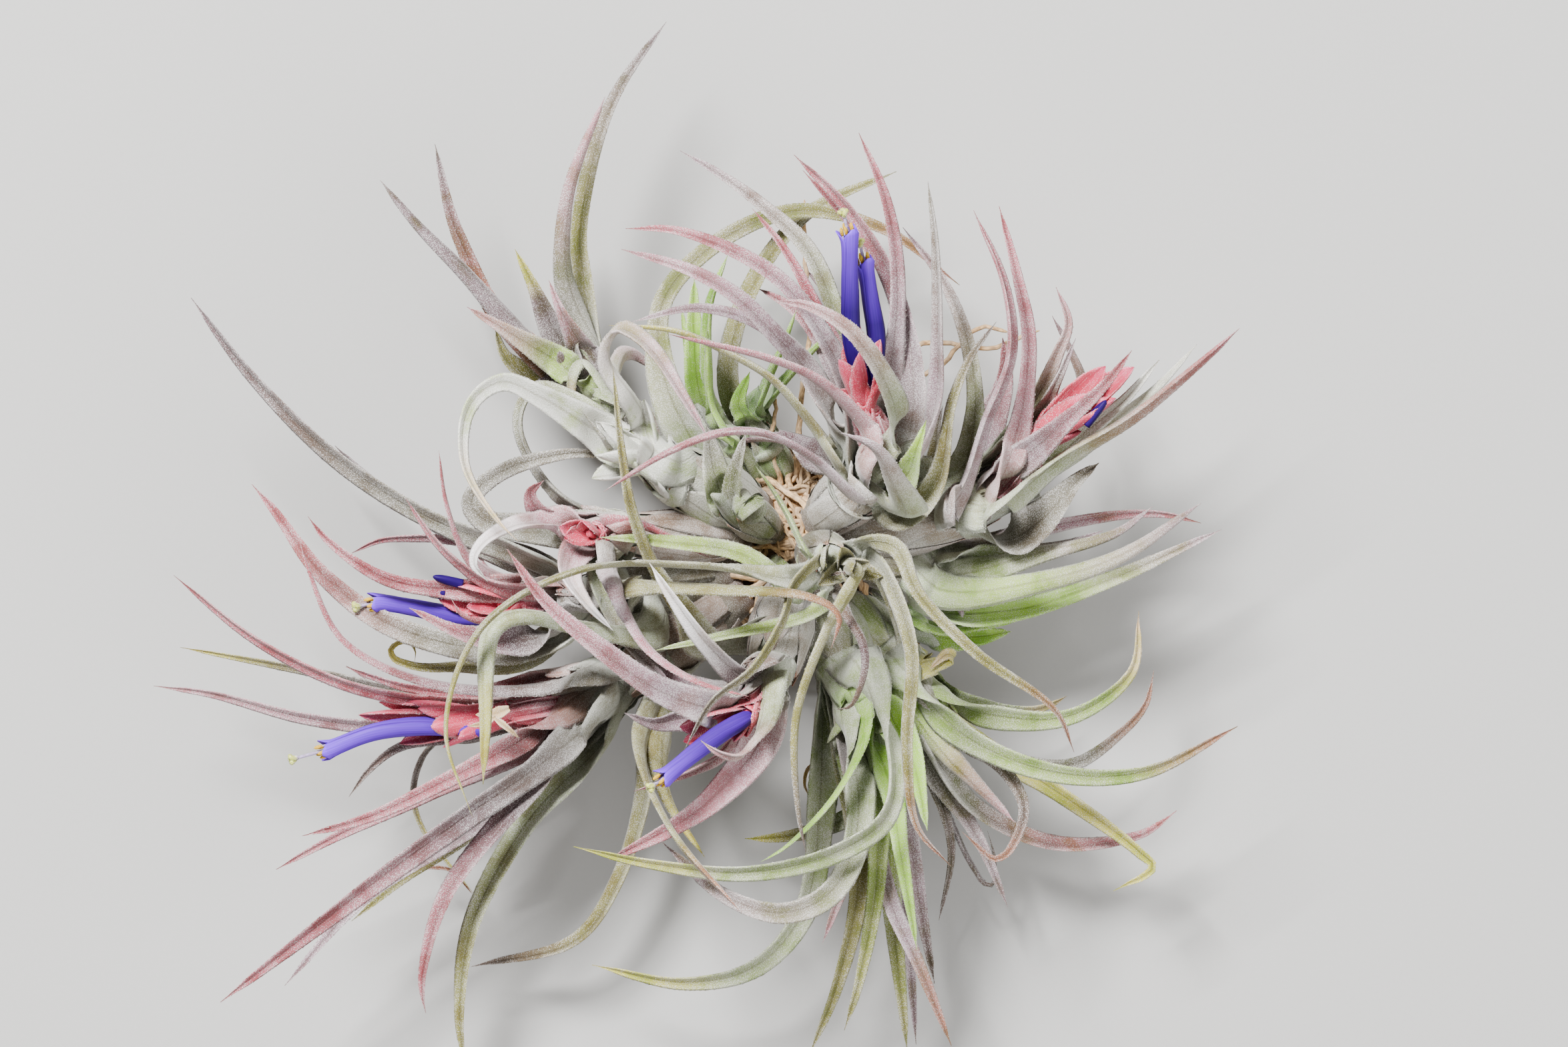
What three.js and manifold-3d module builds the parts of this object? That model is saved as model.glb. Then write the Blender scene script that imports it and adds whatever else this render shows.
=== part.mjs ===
// A flowering clump of a narrow-leaved air plant, lying on the side that its roots grew from.
// Millimetres, +Z up. The origin is the middle of the small flat spot under the root crown.
// Seen from straight above, +Y is the top of the clump and +X its right side.

import * as THREE from 'three';
import { mergeVertices } from 'three/addons/utils/BufferGeometryUtils.js';
import Module from 'manifold-3d';

const wasm = await Module();
wasm.setup();

// Fits
const CLEARANCE = 0.3; // between neighbouring pieces
const CUT_ALLOWANCE = 0.4; // how far a cut stands off what it clears
const EDGE_ROOM = 2.2; // the cut allowances that a blade's thin edge needs, to be left CLEARANCE
const TIP_ROOM = 4; // and those that its tip needs
const WELD_DISTANCE = 0.002; // between vertices that are made one
const FLOOR_GAP = 0.2; // under the lowest leaves

// Leaves
const LEAF_THICKNESS = 1.2; // along the keel
const TIP_THICKNESS = 0.65;
const LEAF_ROLL = 0.36; // depth of the channel, as a share of the leaf's width
const SHEATH_WIDTH = 5.4; // of the clasping leaf base
const SHEATH_END = 0.35; // where the sheath has narrowed to the blade, along the leaf
const SHEATH_SEAT = 0.45; // how far out of the stem's middle a leaf is seated, as a share of the girth
const TIP_NARROWING = 0.86; // how much of its width a leaf has lost at the tip
const STEM_SETBACK = 7; // how far below its blade a leaf clasps the stem
const CHANNELLED_WIDTH = 4.3; // narrower leaves are three-sided, without a channel
const STATIONS = 24; // points along a leaf while it is bent clear of the others
const DEGREES_PER_FACET = 60; // of bending, along a leaf
const FEWEST_FACETS = 3;
const MOST_FACETS = 7;
const UNDER_LEAF_STEP = 5; // every so many leaves there is one on the underside
const UNDER_LEAF_SCALE = 0.84; // the leaves of the underside against those above them
const BENDING_ROUNDS = 90;
const BENDING_FROM = 0.02; // a leaf is stiff up to here along its length
const BENDING_TO = 0.12; // and bends freely from here on

// Flowers
const TUBE_RADIUS = 2.15;
const STYLE_RADIUS = 0.45;
const STIGMA_RADIUS = 1.6;
const ANTHER_RADIUS = 0.6;
const ANTHER_LENGTH = 2.6;
const MOUTH_DEPTH = 4; // how deep the style and stamens stand in the tube
const BUD_RADIUS = 1.3;
const BRACT_START = 0.3; // where a bract leaves its stalk, as a share of the way from the heart
const BRACT_THICKNESS = 1;

// Root crown
const CROWN_CENTRE = new THREE.Vector3(0, 0, 6);
const CROWN_RADII = new THREE.Vector3(24, 22, 28);
const ROOT_RADIUS = 0.8;
const ROOT_COUNT = 9;
const SEED = 7;

// Colours
const SILVER_GREEN = 0xa9ad9c;
const FRESH_GREEN = 0xa6c07c;
const MAUVE_SILVER = 0xb3a3a3;
const OLIVE = 0xa9a673;
const BRACT_PINK = 0xdd5a68;
const PETAL_VIOLET = 0x4b32c0;
const STIGMA_CREAM = 0xe9e6b0;
const ANTHER_YELLOW = 0xe8bf3c;
const ROOT_TAN = 0x8a6a48;

// A leaf is its width, its heights at its base, middle and tip, and its route seen from above, from
// the stem out to the tip.
const leaf = (width, heights, ...route) => ({ width, heights, route });

// A rosette grows from its foot on the root crown out to its heart; girth is the radius of its bulb.
const rosettes = {
  rosette_top: {
    foot: [6, 7, 30], heart: [22, 20, 52], girth: 8, colour: MAUVE_SILVER,
    leaves: [
      leaf(4.2, [57, 72, 70], [14, 35], [10, 45], [0, 59.5], [-10, 66.5], [-25, 72.2], [-36.2, 72.7]),
      leaf(4.7, [57, 76, 78], [5, 40], [-3, 49], [-12, 57.8], [-22, 63.3], [-37, 68]),
      leaf(6, [60, 82, 86], [19, 25], [13, 33.5], [5, 40], [-5, 44], [-26.5, 49]),
      leaf(5.2, [66, 88, 90], [24.3, 28], [22, 38], [14, 49.5], [5, 55], [-3.2, 56.4]),
      leaf(3, [54, 64, 66], [16, 34], [12, 43], [5, 58], [-1, 68.5], [-7.9, 77.3]),
      leaf(4.2, [52, 56, 54], [16, 36], [12, 50], [5, 67.5], [-5, 77.5], [-15, 85], [-24.2, 90.5]),
      leaf(5, [52, 58, 58], [26, 24], [28, 42], [23, 62], [13, 78], [1.4, 89.5]),
      leaf(3.4, [46, 48, 48], [27, 33], [24, 58], [15, 73], [3.4, 86.2]),
      leaf(3.5, [56, 66, 68], [23, 42], [24.5, 62], [22, 79], [15.9, 94.2]),
      leaf(4.2, [56, 72, 74], [28, 21], [33, 34], [33.6, 50], [33, 70], [31.3, 83.2]),
      leaf(5.2, [62, 84, 80], [15, 13], [5, 22], [-5, 27], [-15, 27], [-27, 22.5], [-41, 14]),
      leaf(7, [64, 86, 92], [26.5, 10], [24, 16], [19, 24], [12, 27]),
      leaf(5, [54, 64, 64], [11, 21.5], [5, 30], [-3, 39], [-12, 44.5], [-25, 50], [-40, 51.2]),
      leaf(3.2, [53, 59, 58], [6, 38], [-6, 51], [-20, 55], [-35, 52]),
      leaf(3.4, [50, 58, 60], [38, 18], [42, 30], [40.5, 47], [35, 61], [25.8, 73.2]),
      leaf(3.4, [54, 64, 66], [27, 9], [33.5, 16], [37, 34], [41, 44], [46.7, 52]),
      leaf(3.4, [60, 68, 70], [26, 17], [29, 24], [31, 30]),
    ],
  },
  rosette_right: {
    foot: [12, 4, 28], heart: [44, 11, 38], girth: 9, colour: MAUVE_SILVER,
    leaves: [
      leaf(5.6, [46, 62, 64], [38, 12], [44.5, 30], [50, 45], [48.5, 60.5], [41.6, 76.9]),
      leaf(3.6, [44, 54, 56], [46, 14], [51.5, 27], [54, 48], [51.5, 62], [47.4, 78]),
      leaf(3.8, [41, 46, 46], [52, 28], [60.5, 45], [63, 52], [60.3, 60]),
      leaf(3, [36, 34, 34], [58, 26], [66, 38], [64, 45], [59.6, 53.7]),
      leaf(3, [42, 50, 50], [54, 28], [60.5, 39], [64.7, 48.5]),
      leaf(3.8, [48, 60, 64], [52, 21], [62, 29.5], [71, 38], [77, 45.6]),
      leaf(3.4, [40, 44, 42], [60, 22], [68, 28.5], [75, 34], [83.6, 43.7]),
      leaf(3, [38, 40, 38], [64, 23], [75, 31], [83, 37.5], [92.1, 47.2]),
      leaf(7.2, [44, 52, 54], [46, 10], [62, 21.5], [77, 30.5], [92, 42.5], [101.4, 50.7]),
      leaf(6, [42, 46, 44], [50, 4], [57, 8], [65, 16.5], [70, 20.5]),
    ],
  },
  rosette_right_low: {
    foot: [12, 0, 24], heart: [33, -4, 30], girth: 7, colour: SILVER_GREEN,
    leaves: [
      leaf(3.4, [32, 32, 30], [42, 2], [55, 5.5], [75, 9], [85, 9], [93.3, 7]),
      leaf(4.6, [36, 42, 40], [35, -4.8], [58, 0.4], [74, 5], [82.2, 10.8]),
      leaf(7, [36, 46, 46], [35, -8.2], [58, -5.9], [75.2, -0.2], [92.9, 11.5]),
      leaf(5.4, [31, 33, 32], [30, -12], [52, -12.3], [72.3, -5.9], [97.8, 5.5]),
      leaf(3, [34, 38, 38], [46, -1], [62.5, 2.1], [71, 5.3]),
    ],
  },
  pup_right_green: {
    foot: [14, -8, 20], heart: [30, -18, 20], girth: 4.5, colour: FRESH_GREEN, bare: true,
    leaves: [
      leaf(5.6, [22, 25, 25], [34, -17.4], [43, -16.6], [51.3, -15.4]),
      leaf(5, [21, 21, 20], [34, -18.6], [43, -18.6], [50.6, -17.5]),
      leaf(4, [20, 18, 18], [34, -16.4], [42, -15.8], [49, -14.7]),
    ],
  },
  rosette_bottom_right: {
    foot: [10, -8, 24], heart: [26, -26, 28], girth: 7.5, colour: SILVER_GREEN,
    leaves: [
      leaf(5.6, [34, 36, 30], [37.8, -33.5], [46.4, -36.4], [63.7, -36.4], [77.4, -26.6], [79.2, -12.8]),
      leaf(3.4, [27, 24, 20], [44, -43], [63, -47.7], [75.2, -40.4], [80.9, -34], [82.8, -26.3]),
      leaf(6.6, [38, 44, 40], [27, -28], [40, -41], [60, -49], [80, -49], [101.3, -38.7]),
      leaf(4, [31, 30, 28], [40, -40], [60, -53], [78, -66], [83, -71.5], [80, -72.8], [73.5, -76]),
      leaf(5.4, [28, 22, 20], [33, -45], [42, -57], [60, -65.5], [80, -63.5], [88, -58]),
      leaf(2.8, [35, 38, 42], [40, -42], [47.5, -47.1], [53.3, -57.5], [47.5, -68.7], [39.2, -62.4]),
      leaf(5.4, [37, 40, 36], [34.3, -43.1], [40.6, -50], [51.1, -60.3]),
      leaf(4, [27, 24, 18], [31.4, -47.1], [42.4, -63.2], [49.8, -79.8]),
      leaf(3, [26, 20, 14], [33, -52], [36.9, -66.6], [34.3, -83]),
      leaf(3.2, [24, 16, 20], [35, -56], [42, -71], [46, -75.8], [47, -70], [45.2, -62.6]),
      leaf(2.6, [33, 35, 38], [29, -25], [33, -24.6], [37.5, -23.3], [36, -22.6], [31.8, -26]),
    ],
  },
  rosette_bottom: {
    foot: [6, -8, 28], heart: [15, -28, 34], girth: 9, colour: SILVER_GREEN,
    leaves: [
      leaf(6.6, [44, 60, 64], [18, -28], [24, -46], [22.3, -58.6], [11.2, -66.6], [-8.9, -71.2],
        [-31.8, -68.9], [-47.9, -65.3]),
      leaf(6.4, [41, 54, 60], [12, -30], [16, -60], [10, -75.5], [-1, -80.4], [-14, -76.5], [-28.1, -64.4]),
      leaf(6, [32, 28, 22], [8.5, -34.5], [7.3, -57.5], [3.8, -80.4], [-7.1, -93.1], [-23.2, -96.8],
        [-44.2, -92.8]),
      leaf(4.2, [44, 58, 56], [17.3, -37.4], [11.2, -53.4], [-0.3, -65.5], [-6, -68.9]),
      leaf(3.8, [31, 34, 32], [15, -50], [14.8, -68.9], [11.4, -78.1], [7.9, -87.6]),
      leaf(5.4, [31, 28, 20], [13, -45], [15.9, -74.7], [11.4, -96.5], [5, -113]),
      leaf(4.4, [38, 42, 36], [19, -45], [20, -71.8], [16, -96.5], [12.8, -107.1]),
      leaf(5, [33, 32, 22], [21, -50], [23.5, -80], [25.1, -94.8], [27, -112]),
      leaf(4.4, [37, 38, 28], [17, -56], [23, -78], [29.7, -93], [37, -111]),
      leaf(4.4, [30, 28, 22], [23, -45], [27, -62], [30.5, -83], [33.2, -97.1]),
      leaf(3.4, [27, 20, 14], [24, -60], [27, -85], [29.1, -111]),
      leaf(4, [40, 44, 38], [22, -48], [25.7, -68.9], [29.1, -89]),
      leaf(4.6, [44, 48, 46], [24, -38], [28, -46], [31.4, -62.1]),
    ],
  },
  rosette_front_low: {
    foot: [1, -6, 31], heart: [-4, -29, 58], girth: 8.5, colour: MAUVE_SILVER,
    leaves: [
      leaf(6, [68, 90, 92], [-12, -34], [-26.7, -31.2], [-41.1, -21.5], [-54.3, -10], [-62.3, 1.2]),
      leaf(5, [66, 82, 84], [-9.5, -27.2], [-18, -20], [-26.2, -8.8], [-30.7, -1.9]),
      leaf(4.6, [60, 62, 60], [-12, -36], [-23.3, -36.8], [-29.6, -37.8], [-36.5, -35.5]),
      leaf(4.4, [72, 86, 88], [-5, -38], [-7.8, -42.1], [-11.2, -45], [-15.8, -43.8], [-19.3, -41.3]),
      leaf(3, [58, 62, 64], [-14, -44], [-21, -48.4], [-34.5, -53]),
      leaf(5.4, [62, 66, 60], [-6.6, -42.2], [-16.4, -54.2], [-23.9, -59.9], [-39.9, -68.4]),
      leaf(3, [50, 72, 78], [-18, -20], [-24, -12], [-30, -3], [-35, 10], [-37, 22], [-39, 42]),
    ],
  },
  rosette_lower_left: {
    foot: [-10, -8, 28], heart: [-42, -31, 34], girth: 9, colour: MAUVE_SILVER,
    leaves: [
      leaf(3.6, [37, 42, 44], [-60, -33], [-80, -33], [-100, -29], [-120, -19], [-138, -4.7]),
      leaf(3, [33, 32, 30], [-65, -32], [-85, -31], [-107, -26.5], [-137, -21]),
      leaf(3.6, [34, 33, 30], [-62, -36], [-85, -39], [-108, -37], [-130, -31.5], [-143, -29.7]),
      leaf(3, [38, 44, 44], [-70, -31], [-85, -30], [-92, -28], [-99.3, -25.3]),
      leaf(3, [30, 27, 24], [-70, -40], [-87.3, -43.3], [-94.2, -48.4], [-99.1, -54.8]),
      leaf(3.6, [38, 46, 46], [-57.5, -40.4], [-75.3, -50.1], [-94.2, -59.1], [-109.1, -63.3]),
      leaf(3.4, [36, 38, 36], [-58, -42], [-80, -53.4], [-101.1, -63.3], [-115.2, -71]),
      leaf(6, [41, 50, 46], [-54.5, -46.6], [-71.7, -58.6], [-94.7, -75.3], [-127.4, -100.6]),
      leaf(4, [34, 36, 34], [-66, -58], [-94.7, -77], [-113.3, -97.2]),
      leaf(3.4, [31, 29, 26], [-60, -54], [-75, -65.5], [-86.1, -72.9], [-98.5, -82.9]),
      leaf(5, [38, 42, 34], [-47.1, -41.4], [-62, -57.5], [-76.9, -77], [-82.3, -96.5], [-81.5, -103.4]),
      leaf(5, [34, 32, 22], [-42.5, -43.1], [-57.9, -59.2], [-71.1, -83.3], [-74, -103.4], [-73, -116]),
      leaf(2.4, [26, 18, 12], [-70, -42], [-80.4, -43.1], [-84.9, -53.4], [-82.7, -62.1], [-71.1, -77]),
      leaf(6.2, [40, 56, 58], [-55, -30], [-82, -28.5], [-100, -19], [-107.5, -3], [-109.4, 3.4]),
      leaf(4.6, [38, 66, 86], [-30, -33], [-33, -44.4], [-26.1, -61.5], [-10.6, -79.3]),
      leaf(4.4, [36, 50, 56], [-27, -33], [-29, -45], [-26.7, -55.2], [-18.6, -67.8]),
      leaf(5, [29, 24, 12], [-25, -25], [-32, -37.5], [-31.8, -51.7], [-38.1, -73.5], [-47.9, -87.3],
        [-71.7, -93.5]),
    ],
  },
  rosette_left: {
    foot: [-12, -4, 28], heart: [-52, -11, 42], girth: 8, colour: MAUVE_SILVER,
    leaves: [
      leaf(4.8, [46, 50, 46], [-60, 0], [-80, 8], [-100, 20.5], [-120, 39.7], [-134, 57.6]),
      leaf(5, [42, 48, 48], [-50, -19], [-70, -21], [-90, -15.5], [-105, -4], [-115, 9.5], [-120.3, 15.7]),
      leaf(3.4, [47, 54, 56], [-60, -7], [-73, -8], [-90, -5.5], [-103, 3], [-107.5, 8.5]),
      leaf(2.8, [44, 44, 42], [-62, 1], [-75, 3.5], [-85, 3.7], [-92, 3], [-98.5, 0]),
      leaf(3, [48, 58, 60], [-60, -8], [-68, -6], [-78, 2], [-85.5, 12.5]),
      leaf(3, [48, 60, 64], [-64, -6], [-72, 0], [-76.5, 12], [-78, 23.3]),
      leaf(4.2, [48, 56, 60], [-58, -19], [-72.4, -18], [-84.7, -12]),
      leaf(4.2, [50, 60, 64], [-60, -15], [-68.4, -15.2], [-73, -13.4], [-75, -10.3]),
      leaf(2.4, [40, 38, 42], [-60, -24], [-75.2, -25.5], [-84, -25.3], [-89.6, -22.6], [-88, -20],
        [-84, -20.4], [-83.9, -24.3]),
      leaf(4.8, [58, 78, 82], [-36, -7], [-15.5, -7.7], [5.2, -9.4], [11.5, -13.5], [9.7, -20.9]),
      leaf(6.2, [52, 78, 76], [-30, -17.5], [-45, -16.4], [-60, -13.6], [-66, -16.6], [-67.5, -38.7],
        [-67.9, -51.3]),
    ],
  },
  rosette_left_back: {
    foot: [-10, 3, 31], heart: [-42, 5, 52], girth: 7, colour: MAUVE_SILVER,
    leaves: [
      leaf(5.2, [60, 72, 72], [-51.4, 7], [-61.2, 6.5], [-68.5, 2], [-70, -2], [-66.9, -6]),
      leaf(4, [50, 52, 58], [-58, 6], [-68, 7.6], [-71, 12], [-65, 18], [-50, 22.5], [-37, 22]),
      leaf(4.2, [53, 60, 66], [-50, 8], [-56, 10], [-57.5, 14], [-54.5, 16.5]),
      leaf(3.4, [60, 66, 68], [-40, 7], [-33.6, 6.7], [-26.7, 3.8], [-17.3, -0.8]),
      leaf(5.2, [58, 68, 72], [-40, 0], [-37.5, -10], [-30.8, -21.5], [-20, -28.5], [-8.7, -31.7]),
      leaf(4.2, [57, 66, 68], [-46, 2], [-49, -4], [-45, -11], [-39, -17]),
      leaf(5, [52, 54, 52], [-42, -3], [-39.5, -13], [-34, -22], [-26, -29]),
      leaf(4.2, [46, 48, 62], [-50, 12], [-57, 20], [-60.5, 30], [-57, 37], [-48, 35], [-40, 30.5],
        [-32, 25]),
    ],
  },
  rosette_upper_left: {
    foot: [-11, 11, 22], heart: [-44, 37, 30], girth: 7, colour: SILVER_GREEN,
    leaves: [
      leaf(5.8, [32, 44, 46], [-50, 43], [-60, 50], [-73, 64], [-83, 74], [-91.5, 84]),
      leaf(3.6, [29, 31, 32], [-55, 44], [-66, 55], [-73, 69], [-76, 77], [-79.5, 92.5]),
      leaf(3.6, [33, 40, 42], [-48, 44], [-53, 51], [-57, 60], [-61.3, 68.6]),
      leaf(3, [35, 43, 45], [-45, 45], [-47, 48], [-51, 55], [-53.7, 61.7]),
      leaf(4.4, [29, 36, 32], [-43, 46], [-46, 63], [-46.8, 72], [-43, 92], [-38, 104.5], [-27.3, 120]),
      leaf(4.8, [32, 44, 44], [-45, 49], [-50, 62], [-50, 75], [-48, 85], [-41, 102.8]),
      leaf(4, [34, 44, 48], [-50, 42], [-58, 47], [-67, 52.5], [-72, 55.5]),
      leaf(4.4, [27, 30, 30], [-55, 37], [-60, 41], [-64, 45], [-66, 51]),
      leaf(4.2, [36, 42, 36], [-46, 43], [-48.5, 40], [-48.6, 34], [-47, 30]),
    ],
  },
  rosette_pale_left: {
    foot: [-7, 9, 29], heart: [-27, 19, 48], girth: 9.5, colour: SILVER_GREEN,
    leaves: [
      leaf(7, [52, 74, 80], [-29, 22], [-35, 34], [-41, 44], [-38, 50.5], [-31, 46.5], [-22, 33],
        [-17.5, 25.5]),
      leaf(7, [48, 72, 86], [-36, 23], [-45, 29], [-55, 35], [-64, 38.5], [-71, 33], [-72, 20], [-65, 8],
        [-60, 3]),
      leaf(3.6, [52, 58, 62], [-33, 20], [-38, 22], [-42, 27], [-46, 32]),
      leaf(5, [34, 30, 40], [-22, 26], [-28.5, 42], [-28, 57], [-16, 70], [2, 77.3], [22, 73], [38.7, 60.5]),
    ],
  },
  pup_bright_green: {
    foot: [-6, 14, 22], heart: [-17, 29, 32], girth: 4.5, colour: FRESH_GREEN, bare: true,
    leaves: [
      leaf(4.4, [35, 44, 46], [-17, 34], [-18, 42], [-17.5, 56], [-13.4, 67.3]),
      leaf(4.6, [34, 38, 38], [-19, 34], [-21, 50], [-21, 62]),
      leaf(3.6, [33, 34, 34], [-20, 34], [-22, 42], [-24, 56]),
      leaf(4, [37, 46, 50], [-17, 33], [-18, 42], [-18, 51.5]),
    ],
  },
  pup_dark_green: {
    foot: [0, 16, 22], heart: [-7, 28, 30], girth: 4.5, colour: FRESH_GREEN, bare: true,
    leaves: [
      leaf(4.6, [33, 38, 38], [-7, 31], [-5, 38], [-1, 47], [2, 55]),
      leaf(4.2, [33, 36, 36], [-6, 31], [-4, 35], [2, 42], [8, 48], [12, 50.5]),
      leaf(4.6, [35, 40, 42], [-9, 30], [-11, 34], [-8.5, 41]),
      leaf(4.8, [29, 26, 28], [-12, 34], [-13, 45], [-6, 64], [5, 77], [24.6, 86.3]),
    ],
  },
  pup_pale: {
    foot: [-3, 5, 32], heart: [-13, 11, 50], girth: 5.5, colour: SILVER_GREEN, bare: true,
    leaves: [
      leaf(8, [52, 56, 56], [-14, 12], [-16, 17], [-17, 22]),
      leaf(6, [53, 58, 60], [-12, 13], [-12, 17], [-11, 21]),
    ],
  },
  rosette_front: {
    foot: [5, 1, 32], heart: [12, -2, 58], girth: 6.5, colour: OLIVE,
    leaves: [
      leaf(5.2, [64, 72, 66], [19, -1], [21.2, -3], [27.8, -20.9], [26.9, -43.1], [29.1, -60.9],
        [36.5, -69.6]),
      leaf(4.8, [66, 78, 72], [16.6, -2.5], [8.6, -17.4], [2, -36.3], [2.3, -56.3], [4.1, -66.6]),
      leaf(4.2, [68, 86, 88], [8, 0], [1, -7], [-1, -14], [-8, -25.5], [-16.7, -32.4], [-23, -43.5]),
      leaf(2.8, [63, 70, 68], [13.2, -12.8], [17, -20], [17.3, -26], [14, -34], [10.3, -34.6]),
      leaf(3.4, [61, 62, 64], [6.9, -12.3], [-15.5, -18.6], [-29.6, -21.5]),
      leaf(4, [62, 64, 64], [3, -8.8], [-9.8, -0.2], [-30, 3], [-42, 3.8]),
      leaf(6, [64, 86, 80], [2, -5.4], [-18.2, -2.5], [-46.8, -3.6], [-68.1, -16.3], [-76.1, -38.7],
        [-70.2, -58.5]),
      leaf(4.2, [65, 72, 58], [18, 3], [24.3, 1.5], [28.7, -8.2], [41.9, -22], [59.6, -34.7], [64.2, -44.4]),
      leaf(3.4, [60, 62, 62], [6, -1], [4, 1], [0, 9], [-3, 14], [-7, 19.5]),
    ],
  },
};

// A spike of bracts is its stalk, from its foot in the rosette's heart, and the points of its bracts,
// each with the width of the bract.
const spikes = {
  bracts_top: {
    stalk: [[22, 20, 54], [17, 33, 62]], radius: 3,
    bracts: [
      [4.6, [11.5, 43.5, 70]], [4, [13.5, 49, 68]], [4.2, [16, 45, 72]],
      [3.4, [15.5, 53, 68]], [4.4, [20.8, 48, 66]], [4, [22.5, 42, 68]],
    ],
  },
  bracts_right: {
    stalk: [[45, 12, 40], [56, 25, 46]], radius: 3.4,
    bracts: [
      [5, [71.4, 42.2, 49]], [4.6, [66, 39.5, 46]], [5, [68, 36, 54]],
      [5, [77.9, 42, 47]], [5, [73.7, 35, 50]], [4.6, [66, 27.5, 48]],
    ],
  },
  bracts_front_low: {
    stalk: [[-3, -30, 60], [-9, -35.5, 67]], radius: 3.4,
    bracts: [
      [5, [-24.1, -38.4, 73]], [4.4, [-23.3, -41.8, 69]], [4.4, [-20, -39, 66]], [4.2, [-12, -41.8, 70]],
    ],
  },
  bracts_lower_left: {
    stalk: [[-46, -33, 35], [-66, -36.6, 39]], radius: 3,
    bracts: [
      [4.6, [-96.5, -36.1, 41]], [4.2, [-91.9, -33.2, 40]], [4.4, [-85, -33, 44]],
      [4.4, [-87.3, -42.7, 40]], [4.2, [-77.5, -43.5, 42]], [4, [-79, -36, 45]],
    ],
  },
  bracts_left: {
    stalk: [[-53, -11, 43], [-61, -11, 47]], radius: 2.8,
    bracts: [[4.8, [-75, -7, 52]], [4.8, [-78.7, -9.4, 50]], [4, [-74, -13, 48]], [3.6, [-70, -7, 48]]],
  },
  bracts_left_back: {
    stalk: [[-40, 4.5, 54], [-43, 4.6, 59]], radius: 2.4,
    bracts: [[4, [-51, 6.2, 64]], [3.8, [-50, 3.6, 63]], [3.4, [-46, 7.4, 65]]],
  },
};

// A flower's tube is its route from among the bracts to its mouth; the style ends at the stigma.
const flowers = {
  top_left: {
    route: [[17, 38, 64.5], [14.5, 47, 68], [13.9, 60, 71], [13.7, 71, 73]],
    stigma: [12.5, 75.8, 74.5],
  },
  top_right: {
    route: [[19, 38, 62], [19.9, 48, 63], [18.5, 57, 64], [17.3, 64.5, 65]],
    stigma: [16.2, 69.3, 66],
  },
  front_low: {
    route: [[-10, -37, 70.5], [-14.7, -39.8, 73.5], [-21, -44.4, 76.5], [-27, -49.3, 79]],
    stigma: [-30.2, -51.6, 80],
  },
  lower_left: {
    route: [[-70, -39.4, 42.5], [-82.1, -38.6, 44.5], [-93, -40, 46], [-103.1, -43.8, 47]],
    stigma: [-110.8, -45.9, 48],
  },
  left: {
    route: [[-66, -14, 46.5], [-74, -13.9, 46.5], [-83.9, -12, 47.5], [-91.9, -10.8, 48]],
    stigma: [-96.5, -11.7, 48.5],
  },
};

// A closed petal tip that shows between the bracts: where it starts and where it points.
const budTips = {
  bud_right: [[67, 29, 50], [71.5, 34.5, 51.5]],
  bud_left_high: [[-73, -6.6, 52], [-79.5, -5, 53.5]],
  bud_left_low: [[-77, -9, 50.3], [-81.5, -8.6, 50.8]],
};

// Loose roots that stand out of the crown among the leaves.
const looseRoots = [
  [[2, 20, 26], [3, 35, 24], [5, 50, 22], [4.2, 62, 22], [3.8, 80, 24]],
  [[-2, 18, 28], [-3.5, 24, 30], [-2.5, 35, 30]],
  [[12, 16, 22], [20, 29, 20], [28, 38.5, 21], [36, 44, 22], [43, 51, 24], [50, 50, 25]],
  [[14, 12, 18], [24, 36, 16], [29, 47, 17], [36, 47.5, 18], [45, 46.5, 19], [57, 50.5, 20]],
];

// Repeatable random numbers between 0 and 1.
function randomFrom(seed) {
  let state = seed;
  return () => {
    state = (state * 16807) % 2147483647;
    return state / 2147483647;
  };
}

const vector = (point) => new THREE.Vector3(...point);
const smoothstep = (t) => {
  const s = Math.min(Math.max(t, 0), 1);
  return s * s * (3 - 2 * s);
};

// Points spaced evenly along a smooth curve through the given ones.
function spacedPoints(points, count) {
  return new THREE.CatmullRomCurve3(points, false, 'centripetal').getSpacedPoints(count - 1);
}

function nearestOnStem(stem, point) {
  const onStem = new THREE.Vector3();
  stem.closestPointToPoint(point, true, onStem);
  return onStem;
}

// The height of a leaf a share t of the way out, through its base, middle and tip heights.
function heightAt([base, middle, tip], t) {
  return base * (1 - t) * (1 - 2 * t) + middle * 4 * t * (1 - t) + tip * t * (2 * t - 1);
}

// A leaf's route in space: it clasps the stem a little below where its blade stands away.
function leafCentres(stem, girth, { heights, route }) {
  const lengths = [0];
  for (let i = 1; i < route.length; i += 1) {
    const step = Math.hypot(route[i][0] - route[i - 1][0], route[i][1] - route[i - 1][1]);
    lengths.push(lengths[i - 1] + step);
  }
  const total = lengths[lengths.length - 1];
  const points = route.map(([x, y], i) => new THREE.Vector3(x, y, heightAt(heights, lengths[i] / total)));
  const clasp = nearestOnStem(stem, points[0]);
  const back = stem.delta(new THREE.Vector3()).normalize().multiplyScalar(-STEM_SETBACK);
  const base = nearestOnStem(stem, clasp.add(back));
  const side = points[1].clone().sub(base);
  side.addScaledVector(back, -side.dot(back) / back.lengthSq()).setLength(girth * SHEATH_SEAT);
  return spacedPoints([base.add(side), ...points], STATIONS);
}

// The underside repeats some of the leaves, shorter and lower, so that the clump is full all round.
function underLeaf({ width, heights, route }, heart) {
  const shrink = ([x, y]) => [
    heart[0] + (x - heart[0]) * UNDER_LEAF_SCALE,
    heart[1] + (y - heart[1]) * UNDER_LEAF_SCALE,
  ];
  const [base, middle, tip] = heights;
  return leaf(width, [base * 0.8, 6 + middle * 0.3, 3 + tip * 0.1], ...route.map(shrink));
}

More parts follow.
